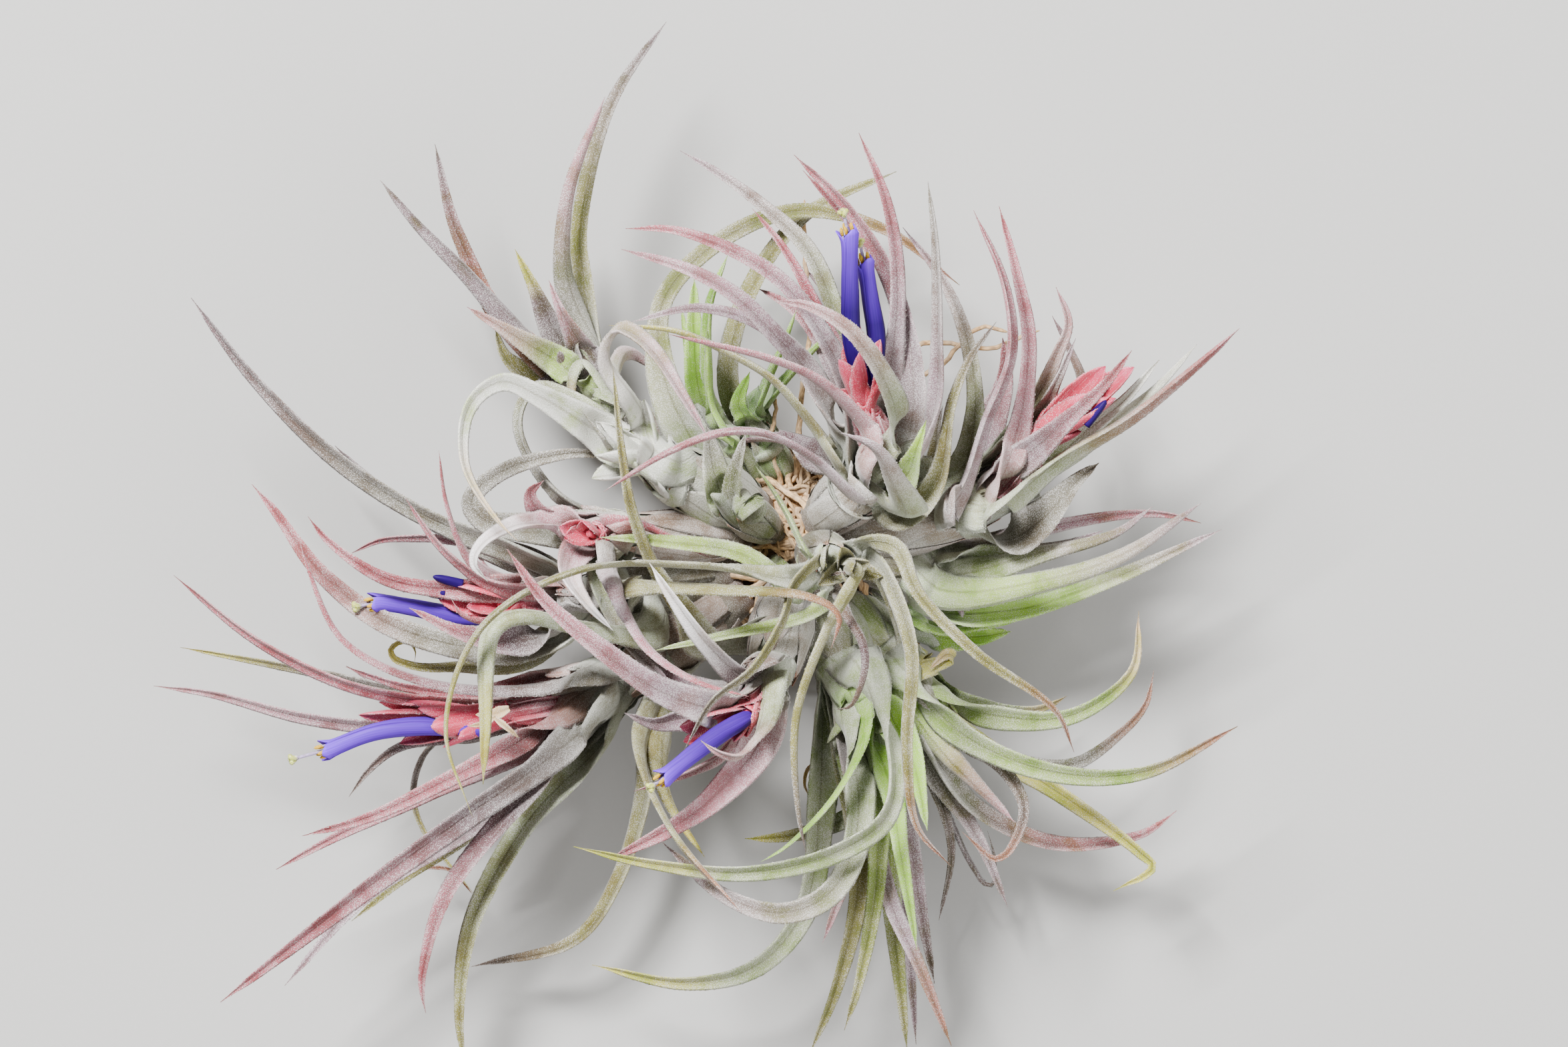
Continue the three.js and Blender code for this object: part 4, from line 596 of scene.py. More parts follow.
def on_curve(points, places):
    """Points on a smooth curve through the given ones; place 1.5 is halfway from the second to the third."""
    points = np.asarray(points, float)
    ends = np.vstack([2 * points[0] - points[1], points, 2 * points[-1] - points[-2]])
    first = np.minimum(np.asarray(places, float).astype(int), len(points) - 2)
    share = (places - first)[:, None]
    before, start, end, after = (ends[first + k] for k in range(4))

    def step(one, two):
        length = np.sum((two - one) ** 2, axis=1)[:, None] ** 0.25
        return np.where(length < 1e-4, 1, length)

    gap = step(start, end)
    leave = (start - before) / step(before, start) + (end - start) / gap
    leave = (leave - (end - before) / (step(before, start) + gap)) * gap
    arrive = (end - start) / gap + (after - end) / step(end, after)
    arrive = (arrive - (after - start) / (gap + step(end, after))) * gap
    cubic = 2 * (start - end) + leave + arrive
    square = 3 * (end - start) - 2 * leave - arrive
    return start + share * (leave + share * (square + share * cubic))


def spaced(points, count, start=0.0, end=1.0):
    """Points spaced evenly along a smooth curve, from one share of its length to another."""
    places = np.linspace(0, len(points) - 1, CURVE_STEPS + 1)
    lengths = lengths_along(on_curve(points, places))
    wanted = np.linspace(start, end, count) * lengths[-1]
    return on_curve(points, np.interp(wanted, lengths, places))


def nearest_on_stem(stem, point):
    foot, heart = np.asarray(stem, float)
    share = np.dot(np.asarray(point) - foot, heart - foot) / np.dot(heart - foot, heart - foot)
    return foot + (heart - foot) * min(max(share, 0), 1)


def height_at(heights, share):
    """The height on a parabola through a leaf's base, middle and tip."""
    base, middle, tip = heights
    end_parts = base * (1 - share) * (1 - 2 * share) + tip * share * (2 * share - 1)
    return end_parts + middle * 4 * share * (1 - share)


def leaf_centres(stem, girth, each):
    """A leaf's middle line: it clasps the stem a little below where its blade stands away."""
    route = np.array(each["route"], float)
    lengths = lengths_along(route)
    points = np.column_stack([route, height_at(each["heights"], lengths / lengths[-1])])
    back = -STEM_SETBACK * unit(np.subtract(stem[1], stem[0]))
    base = nearest_on_stem(stem, nearest_on_stem(stem, points[0]) + back)
    side = points[1] - base
    side = unit(side - back * np.dot(side, back) / np.dot(back, back)) * girth * SHEATH_SEAT
    return spaced(np.vstack([base + side, points]), STATIONS)


def under_leaf(each, heart):
    """The underside repeats some of the leaves, shorter and lower."""
    base, middle, tip = each["heights"]
    route = tuple(
        tuple(centre + (place - centre) * UNDER_LEAF_SCALE for place, centre in zip(point, heart))
        for point in each["route"]
    )
    return {**each, "heights": (base * 0.8, 6 + middle * 0.3, 3 + tip * 0.1), "route": route}


def width_at(share, width):
    """The width of a leaf's solid a share of the way along it."""
    sheath = max(SHEATH_WIDTH - width, 0) * (1 - smoothstep(share / SHEATH_END))
    return (width * 1.1 + sheath) * (1 - TIP_NARROWING * share ** 2.4)


def blade_width(share, each):
    """A fine leaf's width: that of the solid, but narrow leaves are fuller and all have a short point."""
    fullness = TIP_FULLNESS * np.interp(each["width"], FULL_WIDTHS, (1, 0))
    shape = 1 + fullness * smoothstep(share / 0.8) - (1 - each["slim"]) * smoothstep(share / 0.5)
    point = 1 - 0.8 * smoothstep((share - SHORT_POINT) / (1 - SHORT_POINT))
    return width_at(share, each["width"]) * shape * point


def grow_leaves():
    """Every leaf of the clump, with its middle line before it is bent clear of the others."""
    shares = np.linspace(0, 1, STATIONS)
    leaves = []
    for name, each in ROSETTES.items():
        stem = (each["foot"], each["heart"])
        repeated = [] if each["bare"] else each["leaves"][::UNDER_LEAF_STEP]
        under = [under_leaf(one, each["heart"]) for one in repeated]
        for index, one in enumerate([*each["leaves"], *under]):
            leaves.append({
                **one, "owner": name, "under": index >= len(each["leaves"]),
                "centres": leaf_centres(stem, each["girth"], one),
                "widths": width_at(shares, one["width"]),
            })
    return leaves


def fixed_rows():
    """The stems, spikes and flowers that the leaves bend round: owner, points and reach of each."""
    for name, each in ROSETTES.items():
        yield name, spaced((each["foot"], each["heart"]), 8), each["girth"] * STEM_REACH
    for spike in SPIKES.values():
        for width, tip in spike["bracts"]:
            yield "flowers", spaced((*spike["stalk"], tip), 12), width * BRACT_REACH
    for route, stigma in FLOWERS.values():
        yield "flowers", spaced((*route, stigma), 16), TUBE_RADIUS
    for ends in BUD_TIPS.values():
        yield "flowers", spaced(ends, 3), BUD_REACH


def find_meetings(owner, row, points, reach, give, first_leaf):
    """Pairs of points that lie over each other, upper first, with the height needed between them."""
    highs, lows, needs = [], [], []
    count = len(points)
    batch = 400
    for start in range(0, count, batch):
        upper = np.arange(start, min(start + batch, count))[:, None]
        lower = np.arange(count)[None, :]
        same = owner[upper] == owner[lower]
        room = (reach[upper] + reach[lower]) * np.where(same, 0.95, 1) + CLEARANCE
        apart = np.hypot(points[upper, 0] - points[lower, 0], points[upper, 1] - points[lower, 1])
        stiff = np.where(same, give[upper] * give[lower], give[upper] + give[lower]) == 0
        wanted = (lower > upper) & (lower >= first_leaf) & (row[upper] != row[lower]) & ~stiff
        one, two = np.nonzero(wanted & (apart < room))
        highs.append(one + start)
        lows.append(two)
        needs.append(np.sqrt(room[one, two] ** 2 - apart[one, two] ** 2))
    high, low, need = map(np.concatenate, (highs, lows, needs))
    pair, member = np.unique(row[high] * count + row[low], return_inverse=True)
    lead = np.bincount(member, points[high, 2] - points[low, 2], len(pair))
    turned = lead[member] < 0
    return np.where(turned, low, high), np.where(turned, high, low), need


def bend_clear(leaves):
    """Leaves that would cross are bent apart in height, so seen from above each keeps its place."""
    fixed = list(fixed_rows())
    names = [name for name, line, _ in fixed for _ in line] + [
        each["owner"] for each in leaves for _ in range(STATIONS)
    ]
    owner = np.unique(names, return_inverse=True)[1]
    first_leaf = sum(len(line) for _, line, _ in fixed)
    points = np.vstack([line for _, line, _ in fixed] + [each["centres"] for each in leaves])
    row = np.concatenate([np.arange(first_leaf), first_leaf + np.repeat(np.arange(len(leaves)), STATIONS)])
    fixed_reach = np.concatenate([np.full(len(line), radius) for _, line, radius in fixed])
    reach = np.concatenate([fixed_reach, *(BLADE_REACH * each["widths"] + BLADE_SPARE for each in leaves)])
    bending = smoothstep((np.linspace(0, 1, STATIONS) - BENDING_FROM) / (BENDING_TO - BENDING_FROM))
    give = np.concatenate([np.zeros(first_leaf), np.tile(bending, len(leaves))])
    high, low, need = find_meetings(owner, row, points, reach, give, first_leaf)
    share = give[high] / (give[high] + give[low])
    height = points[:, 2].copy()
    for _ in range(BENDING_ROUNDS):
        short = np.maximum(need - (height[high] - height[low]), 0)
        up = np.zeros(len(points))
        down = np.zeros(len(points))
        np.maximum.at(up, high, short * share)
        np.maximum.at(down, low, short * (1 - share))
        lift = np.where(give > 0, np.maximum(reach * 0.7 + FLOOR_GAP - height, 0), 0)
        move = ((up - down) * BENDING_STEP + lift)[first_leaf:].reshape(-1, STATIONS)
        before = np.column_stack([move[:, :1], move[:, :-1]])
        after = np.column_stack([move[:, 1:], move[:, -1:]])
        height[first_leaf:] += give[first_leaf:] * (0.25 * before + 0.5 * move + 0.25 * after).ravel()
    for each, bent in zip(leaves, height[first_leaf:].reshape(-1, STATIONS)):
        each["centres"][:, 2] = bent


def directions(points):
    """The direction of a row of points at each of them."""
    padded = np.vstack([points[:1], points, points[-1:]])
    return unit(padded[2:] - padded[:-2])


def carried(tangents, facing):
    """A facing direction carried along a row of points without twist."""
    normals = []
    normal = np.asarray(facing, float)
    for tangent in tangents:
        normal = unit(normal - tangent * np.dot(normal, tangent))
        normals.append(normal)
    return np.array(normals)


def round_axis(axis, turn, hint=(0.1, 0.2, 1)):
    """The direction that points away from an axis at a turn round it, or at each of several."""
    first = unit(np.cross(axis, hint))
    turn = np.asarray(turn)[..., None]
    return np.cos(turn) * first + np.sin(turn) * np.cross(axis, first)


def leaf_facing(centres, axis):
    """The channelled face of a leaf turns to the stem's axis, and leans towards the light."""
    outer = round(len(centres) * 0.35)
    tangent = unit(centres[outer + 1] - centres[outer - 1])
    facing = axis - tangent * np.dot(axis, tangent)
    facing[2] += LIGHT_LEAN if facing[2] > -0.15 else -LIGHT_LEAN
    return facing


class Growth:
    """The mesh of one piece while it grows, each point with a tint and its place on its form.

    It has the clump's colours and fine sizes at hand, and random numbers that go with its name.
    """

    def __init__(self, scene, name):
        self.colours = scene.clump_colours
        self.sizes = scene.clump_sizes
        self.random = np.random.default_rng([SEED, *name.encode()])
        self.points = []
        self.tints = []
        self.places = []
        self.faces = []
        self.count = 0

    def shade(self, name, frost=None):
        """A named colour, with how thickly pale scales cover it as its fourth part."""
        return np.array([*getattr(self.colours, name), FROST.get(name, 0) if frost is None else frost])

    def add(self, points, tints, places, faces):
        """Points, their tints and places, and faces that index them."""
        self.points.append(points)
        self.tints.append(tints)
        self.places.append(places)
        self.faces.append(faces + self.count)
        self.count += len(points)

    def loft(self, rings, tints, places, scales=0):
        """A closed form through rings of points, with a number of pale scales that stand off it.

        Each ring or each point has a tint, whose fourth part says how thickly pale scales cover it.
        """
        count, sides, _ = rings.shape
        if tints.ndim == 2:
            tints = np.repeat(tints[:, None], sides, axis=1)
        turn = np.arange(sides)
        start = np.arange(count - 1)[:, None] * sides
        beside = start + (turn + 1) % sides
        walls = np.stack([start + turn, beside, beside + sides, start + turn + sides], axis=-1)
        first, last = count * sides, count * sides + 1
        root_cap = np.stack([turn, np.full(sides, first), (turn + 1) % sides, turn], axis=-1)
        far = (count - 1) * sides
        tip_cap = np.stack([far + turn, far + (turn + 1) % sides, np.full(sides, last), far + turn], axis=-1)
        points, colours, spots = (
            np.vstack([part.reshape(-1, part.shape[-1]), part[0].mean(0), part[-1].mean(0)])
            for part in (rings, tints, places)
        )
        self.add(points, colours, spots, np.vstack([walls.reshape(-1, 4), root_cap, tip_cap]))
        if scales:
            self.stand_scales(rings, tints, scales)

    def stand_scales(self, rings, tints, number):
        """Tiny pale scales that stand off a lofted form, many of them along a blade's two edges."""
        # Where each scale sits along the form and round it
        random = self.random
        count, sides, _ = rings.shape
        around = np.linalg.norm(np.roll(rings, -1, axis=1) - rings, axis=2).sum(1) + 1e-6
        lengths = np.concatenate([[0], np.cumsum(around[:-1])])
        along = np.interp(random.random(number) * lengths[-1], lengths, np.arange(count))
        turn = random.random(number) * sides
        blade = sides == len(OUTSIDE) + len(CHANNEL)
        on_edge = blade & (random.random(number) < EDGE_SCALES)
        edge = np.where(random.random(number) < 0.5, 0.0, len(OUTSIDE) - 1.0)
        turn = np.where(on_edge, edge, turn)

        # The spot there, and its directions along, round and out of the form
        row = np.minimum(along.astype(int), count - 2)
        side = turn.astype(int) % sides
        up, over = (along - row)[:, None], (turn - turn.astype(int))[:, None]
        corner, beyond = rings[row, side], rings[row + 1, side]
        beside, across = rings[row, (side + 1) % sides], rings[row + 1, (side + 1) % sides]
        low = corner + (beside - corner) * over
        high = beyond + (across - beyond) * over
        seat = low + (high - low) * up
        lengthwise = unit(high - low)
        outward = unit(np.cross(beside - corner + across - beyond, lengthwise))
        outward = np.where(on_edge[:, None], unit(seat - rings[row].mean(1)), outward)
        sideways = np.cross(outward, lengthwise)

        # Three points on the form and one that stands off it
        length = (self.sizes.scale_length / MM * (0.6 + 0.8 * random.random(number)))[:, None]
        base = seat - outward * 0.04
        lean = lengthwise * (0.3 + 0.7 * random.random((number, 1)))
        lean = lean + sideways * (random.random((number, 1)) - 0.5)
        apex = seat + (outward * 0.8 + lean) * length
        corners = [
            base + (lengthwise * math.cos(way) + sideways * math.sin(way)) * length * 0.42
            for way in SCALE_CORNERS
        ]
        points = np.stack([*corners, apex], axis=1).reshape(-1, 3)
        pale = tints[row, side] * 0.45 + self.shade("white", 1.0) * 0.55
        start = np.arange(number)[:, None] * 4
        faces = np.vstack([start + pair for pair in ((0, 1, 3, 0), (1, 2, 3, 1), (2, 0, 3, 2))])
        self.add(points, np.repeat(pale, 4, axis=0), np.zeros(points.shape), faces)

    def piece(self, name, material, nodes):
        """The grown mesh as an object that stands for CAD nodes and rides on the clump."""
        points = np.vstack(self.points) * MM
        if not np.isfinite(points).all():
            raise RuntimeError(f"{name} could not be grown: some of its points have no place")
        points = np.clip(points, *CAD_BOX)  # a standing scale may not pass the solids' box
        mesh = bpy.data.meshes.new(name)
        faces = np.vstack(self.faces)
        triangles = faces[:, 0] == faces[:, 3]
        loops = np.concatenate([faces[~triangles].ravel(), faces[triangles, :3].ravel()])
        sizes = np.concatenate([np.full((~triangles).sum(), 4), np.full(triangles.sum(), 3)])
        starts = np.concatenate([[0], np.cumsum(sizes)[:-1]])
        mesh.vertices.add(len(points))
        mesh.vertices.foreach_set("co", points.astype(np.float32).ravel())
        mesh.loops.add(len(loops))
        mesh.loops.foreach_set("vertex_index", loops.astype(np.int32))
        mesh.polygons.add(len(sizes))
        mesh.polygons.foreach_set("loop_start", starts.astype(np.int32))
        mesh.polygons.foreach_set("use_smooth", np.ones(len(sizes), bool))
        tint = mesh.attributes.new("tint", "FLOAT_COLOR", "POINT")
        tint.data.foreach_set("color", np.vstack(self.tints).astype(np.float32).ravel())
        place = mesh.attributes.new("place", "FLOAT_VECTOR", "POINT")
        place.data.foreach_set("vector", np.vstack(self.places).astype(np.float32).ravel())
        mesh.update(calc_edges=True)
        if mesh.validate():
            raise RuntimeError(f"{name} could not be grown: its mesh has faulty faces")
        mesh.materials.append(material)
        made = bpy.data.objects.new(name, mesh)
        bpy.context.scene.collection.objects.link(made)
        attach(made, "root")
        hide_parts(*nodes)


def laid(line, tangents, normals, across, rise):
    """Rings of points round a line, from how far each point lies across it and rises from it."""
    sideways = np.cross(normals, tangents)
    return line[:, None] + sideways[:, None] * across[..., None] + normals[:, None] * rise[..., None]


def blade_section(half, roll, thickness, sink):
    """Across and outward places of the points round a rolled blade, for each of its rings."""
    radius = (half / np.sin(np.minimum(roll, math.pi / 2)))[:, None]
    thickness = np.minimum(thickness[:, None], radius * 0.55)
    depth = radius * (1 - np.cos(roll[:, None]))
    inner = radius - thickness * (1 - 0.55 * CHANNEL ** 2)
    outer_turn, inner_turn = OUTSIDE * roll[:, None], CHANNEL * roll[:, None]
    across = np.hstack([radius * np.sin(outer_turn), inner * np.sin(inner_turn)])
    height = radius - np.hstack([radius * np.cos(outer_turn), inner * np.cos(inner_turn)]) - sink * depth
    return across, height


def ring_places(half, length, number):
    """Where each point of a blade's rings lies: millimetres across and along, and the blade's number."""
    across = half[:, None] * np.concatenate([OUTSIDE, CHANNEL])
    along = np.broadcast_to(np.linspace(0, length, len(half))[:, None], across.shape)
    return np.stack([across, along, np.full(across.shape, number)], axis=-1)


def bulb_axis(parent):
    """A rosette's foot, heart and axis, and the length of its bulb."""
    foot, heart = np.array(parent["foot"], float), np.array(parent["heart"], float)
    length = np.linalg.norm(heart - foot) + BULB_OVERRUN * parent["girth"]
    return foot, heart, unit(heart - foot), length


def bulb_radius(share, girth):
    """A bulb's radius a share of the way from its foot to its inner end."""
    return girth * np.interp(share, *BULB_PROFILE)


def sheath_rings(axis_points, axis, outward, away, span, thickness):
    """Rings of a plate that clasps a bulb, round the points of the bulb's axis."""
    turn = np.hstack([OUTSIDE * span[:, None], CLASPING_INSIDE * span[:, None]])[..., None]
    inner_thickness = thickness * (1 - 0.7 * CLASPING_INSIDE ** 2)
    outer_reach = np.repeat(away[:, None], len(OUTSIDE), axis=1)
    reach = np.hstack([outer_reach, away[:, None] - inner_thickness])[..., None]
    along = np.cos(turn) * outward[:, None] + np.sin(turn) * np.cross(axis, outward)[:, None]
    return axis_points[:, None] + reach * along


def seated(centres, parent, layer):
    """A leaf's middle line, pushed out where it would run through its rosette's bulb.

    With it come the points of the bulb's axis beside it, the directions and distances from there, and
    how closely the leaf hugs the bulb, from 0 to 1.
    """
    foot, _, axis, bulb_length = bulb_axis(parent)
    share = np.linspace(0, 1, LEAF_RINGS)
    height = dot(centres - foot, axis)
    radial = centres - foot - axis * height
    away = np.linalg.norm(radial, axis=1)
    outward = unit(radial)
    seat = layer - SHEATH_SUNK * (1 - smoothstep(share / 0.06))
    bulb = bulb_radius(height[:, 0] / bulb_length, parent["girth"]) * LEAF_SEAT + seat
    near = np.minimum.accumulate(smoothstep((bulb - away) / CLASP_REACH + 1))
    hug = near * (1 - smoothstep((share - 0.1) / 0.25))
    pushed = 0.5 * (away + bulb + np.sqrt((away - bulb) ** 2 + 1.5))
    away = away + hug * (pushed - away)
    beside = foot + axis * height
    return beside + outward * away[:, None], beside, outward, away, hug


def untwisted(tangents, normals, outward, last_held):
    """A leaf's facing directions, turned to its bulb's axis up to the last held point, and then let go."""
    share = np.linspace(0, 1, LEAF_RINGS)
    wanted = unit(-outward + tangents * dot(outward, tangents))
    turn = np.arctan2(dot(np.cross(normals, wanted), tangents), dot(normals, wanted))[:, 0]
    twist = turn[np.minimum(np.arange(LEAF_RINGS), last_held)]
    twist *= 1 - smoothstep((share - share[last_held]) / 0.25)
    twist = np.clip(np.unwrap(twist), -MOST_TWIST, MOST_TWIST)[:, None]
    return normals * np.cos(twist) + np.cross(tangents, normals) * np.sin(twist)


def leaf_rings(each, layer, sizes):
    """The rings of a leaf: a sheath that clasps the bulb, and a rolled blade that tapers to its tip.

    Layer says how far over the bulb the sheath lies.
    """
    parent = ROSETTES[each["owner"]]
    axis = bulb_axis(parent)[2]
    share = np.linspace(0, 1, LEAF_RINGS)
    route = each["centres"]
    if parent["longer"]:
        route = np.vstack([route, route[-1] + unit(route[-1] - route[-3]) * parent["longer"]])
    centres = spaced(route, LEAF_RINGS, end=UNDER_LEAF_SHOWN if each["under"] else 1.0)
    centres, beside, outward, away, hug = seated(centres, parent, layer)
    last_held = max(int(np.sum(hug > 0.5)) - 1, 0)
    tangents = directions(centres)
    normals = carried(tangents, leaf_facing(each["centres"], axis))
    normals = untwisted(tangents, normals, outward, last_held)

    half = blade_width(share, each) / 2
    along = share * length_of(centres)
    clasping = np.maximum(1 - along / (along[last_held] + SHEATH_TAPER), 0) ** 1.4
    clasping *= 1 - smoothstep(2 * share - 1)
    widest = sizes.sheath_wrap * parent["girth"] * 0.9 * parent["clasp"]
    half = half + np.maximum(widest - half, 0) * clasping
    roll = np.interp(share, *LEAF_ROLL) * min(along[-1] / ROLLED_LENGTH, 1)
    keel = sizes.keel_thickness / MM
    thickness = keel + (sizes.tip_thickness / MM - keel) * share
    blade = laid(centres, tangents, normals, *blade_section(half, roll, thickness, 0.6))
    span = np.minimum(half / away, 1.4)
    clasp = sheath_rings(beside, axis, outward, away + 0.3, span, SHEATH_THICKNESS)
    return blade + (clasp - blade) * hug[:, None, None], half, length_of(centres)


def faded(shades, stops, count):
    """Shades for count rings, from the given ones at their shares of the way."""
    shades = np.array(shades)
    share = np.linspace(0, 1, count)
    return np.column_stack([np.interp(share, stops, shades[:, part]) for part in range(4)])


def even(value, count):
    """The same shade or direction for each of count rings."""
    return np.repeat(value[None], count, axis=0)


def grooved(shades, light):
    """Each ring's shade over its points: painted shade and thinner frost in the channel, thicker frost at
    the edges, partly real scales and partly a painted highlight.
    """
    # Painted shade in the channel, which also thins the frost there
    channel_shade_and_frost = np.concatenate([np.ones(len(OUTSIDE)), 0.72 + 0.28 * np.abs(CHANNEL) ** 1.5])
    # Thicker frost at the edges: partly the real scales there, partly a painted highlight on the rims
    edge = np.concatenate([np.abs(OUTSIDE) ** 5, np.abs(CHANNEL) ** 4])
    spread = np.repeat(shades[:, None], len(OUTSIDE) + len(CHANNEL), axis=1)
    spread[..., :3] *= (channel_shade_and_frost * light)[:, None]
    spread[..., 3] = np.minimum(spread[..., 3] * channel_shade_and_frost + 0.25 * edge, 1)
    return spread


def leaf_tints(growth, each):
    """A leaf's shades, from its pale sheath through its body to its tip, for each point of its rings."""
    random = growth.random
    body, tip, sheath, brown, pale = map(growth.shade, (*each["tints"], "sheath", "brown", "white"))
    turning = 0.72 if each["tints"][1] in WITHERED else 0.45
    shades = faded(
        (
            brown * 0.6 + sheath * 0.4, sheath, sheath * 0.6 + body * 0.4, sheath * 0.2 + body * 0.8, body,
            body * 0.4 + tip * 0.6, tip, tip * 0.9 + pale * 0.1,
        ),
        (0, 0.06, 0.14, 0.26, turning, turning * 0.5 + 0.45, 0.96, 1), LEAF_RINGS,
    )
    ripple = np.sin(np.linspace(0, 17, LEAF_RINGS) + random.random() * 6) * random.random()
    shades[:, :3] *= 1 + 0.08 * ripple[:, None]
    # Leaves on the underside are a fifth darker, as painted shade under the rosette; the rest is each leaf's
    # random tone
    return grooved(shades, (0.9 + 0.2 * random.random()) * (0.8 if each["under"] else 1))


def grow_leaf(growth, each, layer):
    """A leaf with its tints, and fewer standing scales on the ones below."""
    rings, half, length = leaf_rings(each, layer, growth.sizes)
    density = growth.sizes.scales_per_area * (0.4 if each["under"] else 1)
    tints = leaf_tints(growth, each)
    places = ring_places(half, length, growth.random.random() * 50)
    growth.loft(rings, tints, places, scales=int(length * half.mean() * 2 * density))


def grow_old_leaf(growth, parent, start, turn, layer, shades):
    """The broad base of an old leaf, which clasps a rosette's bulb and narrows to a dry point."""
    random = growth.random
    girth = parent["girth"]
    foot, _, axis, length = bulb_axis(parent)
    within = np.linspace(0, 1, BULB_RINGS)
    share = start + OLD_LEAF_REACH * within
    outward = even(round_axis(axis, turn, (0.2, 0.3, 1)), BULB_RINGS)
    lift = layer - 1.2 * (1 - smoothstep(within / 0.2)) + 0.5 * random.random() * within ** 3
    away = bulb_radius(share, girth) * LEAF_SEAT + lift
    span = (0.75 + 0.3 * random.random()) * np.maximum(1 - within ** 2.2, 0.03)
    line = foot + axis * (share * length)[:, None]
    rings = sheath_rings(line, axis, outward, away, span, 0.3)
    tints = grooved(faded(shades, (0, 0.5, 0.85, 1), BULB_RINGS), 1.0)
    scales = int(length * OLD_LEAF_REACH * girth * growth.sizes.scales_per_area * 0.6)
    growth.loft(rings, tints, ring_places(span * away, length * OLD_LEAF_REACH, turn), scales)


def grow_bulb(growth, parent):
    """A rosette's bulb, with the old leaf bases that overlap round it."""
    random = growth.random
    foot, _, axis, length = bulb_axis(parent)
    share = np.linspace(0, 1, BULB_RINGS)
    line = foot + axis * (share * length)[:, None]
    sheath, brown, dry = map(growth.shade, ("sheath", "brown", "dry"))
    tints = faded((brown, sheath * 0.7, sheath * 0.6), (0, 0.4, 1), BULB_RINGS)
    grow_rod(growth, line, bulb_radius(share, parent["girth"]) * BULB_CORE, 20, tints, 0.5)

    body = growth.shade(parent["leaves"][0]["tints"][0])
    for index in range(OLD_LEAVES):
        place = index / OLD_LEAVES
        age = (1 - place) ** 1.5 * (0.3 + 0.6 * random.random())
        base = (sheath * 0.6 + body * 0.4) * (1 - age) + brown * age
        light = 0.85 + 0.3 * random.random()
        shades = np.array((base, base, base * 0.8 + dry * 0.2, dry)) * (light, light, light, 1)
        layer = 0.12 + 0.04 * (OLD_LEAVES - index)
        start = 0.02 + OLD_LEAF_SPREAD * place
        grow_old_leaf(growth, parent, start, index * GOLDEN_ANGLE + 0.3, layer, shades)


def grow_blade(growth, line, facing, width, profile, section, tints, light):
    """A channelled blade along a line of points, with pale scales that stand off it.

    Its section says how far it rolls, how thick it is, and how much of its depth lies under the line.
    """
    count = len(line)
    tangents = directions(line)
    normals = carried(tangents, facing)
    half = width / 2 * np.interp(np.linspace(0, 1, count), *profile)
    roll, thickness, sink = section
    across, rise = blade_section(half, np.full(count, roll), np.full(count, thickness), sink)
    rings = laid(line, tangents, normals, across, rise)
    places = ring_places(half, length_of(line), growth.random.random() * 40)
    growth.loft(rings, grooved(tints, light), places, scales=int(width * length_of(line)))


def grow_remains(growth, tint, width, route):
    """A papery flake or withered curl along a route."""
    line = spaced(route, REMAINS_RINGS)
    tints = even(growth.shade(tint), REMAINS_RINGS)
    light = 0.9 + 0.2 * growth.random.random()
    grow_blade(growth, line, (0.2, 0.1, 1), width, REMAINS_PROFILE, REMAINS_SECTION, tints, light)


def turns_round(count):
    return np.linspace(0, 2 * math.pi, count, endpoint=False)


def rod_rings(line, radii, sides, lobes=0, depth=0.0, turn=0.0):
    """Rings round a line of points; with lobes their outline swells and sinks, turning along the line."""
    tangents = directions(line)
    normals = carried(tangents, ROD_FACING)
    angle = turns_round(sides)
    wave = np.cos(lobes * angle + np.linspace(0, turn, len(line))[:, None])
    reach = radii[:, None] * (1 + depth * wave)
    return laid(line, tangents, normals, reach * np.cos(angle), reach * np.sin(angle))


def rod_places(rings, number):
    """Where each point of a rod's rings lies: millimetres round it and along it, and its number."""
    count, sides, _ = rings.shape
    centres = rings.mean(1)
    spread = np.linalg.norm(rings - centres[:, None], axis=2)
    along = np.repeat(lengths_along(centres)[:, None], sides, axis=1)
    return np.stack([spread * np.sin(turns_round(sides)), along, np.full((count, sides), number)], axis=-1)


def grow_rod(growth, line, radii, sides, tints, number, scales=0, **shape):
    """A rod along a line of points, in one shade or with one for each point; shape is as in rod_rings."""
    rings = rod_rings(line, radii, sides, **shape)
    tints = even(tints, len(line)) if tints.ndim == 1 else tints
    growth.loft(rings, tints, rod_places(rings, number), scales)


def grow_bract(growth, stalk, width, tip, start, shades):
    """A short boat-shaped leaf, broadest near its foot and hollow towards the stalk.

    Start is the share of its line, from the stalk's foot, that it leaves out.
    """
    foot, top = np.array(stalk, float)
    tip = np.array(tip, float)
    shoulder = foot + (top - foot) * 0.8
    shoulder += (tip - shoulder) * 0.08
    line = spaced((foot, shoulder, tip), BRACT_RINGS, start)
    axis = unit(top - foot)
    inward = top - tip
    inward = inward - axis * np.dot(inward, axis)
    tints = faded(shades, BRACT_STOPS, BRACT_RINGS)
    light = 0.85 + 0.3 * growth.random.random()
    grow_blade(growth, line, inward, width, BRACT_PROFILE, BRACT_SECTION, tints, light)


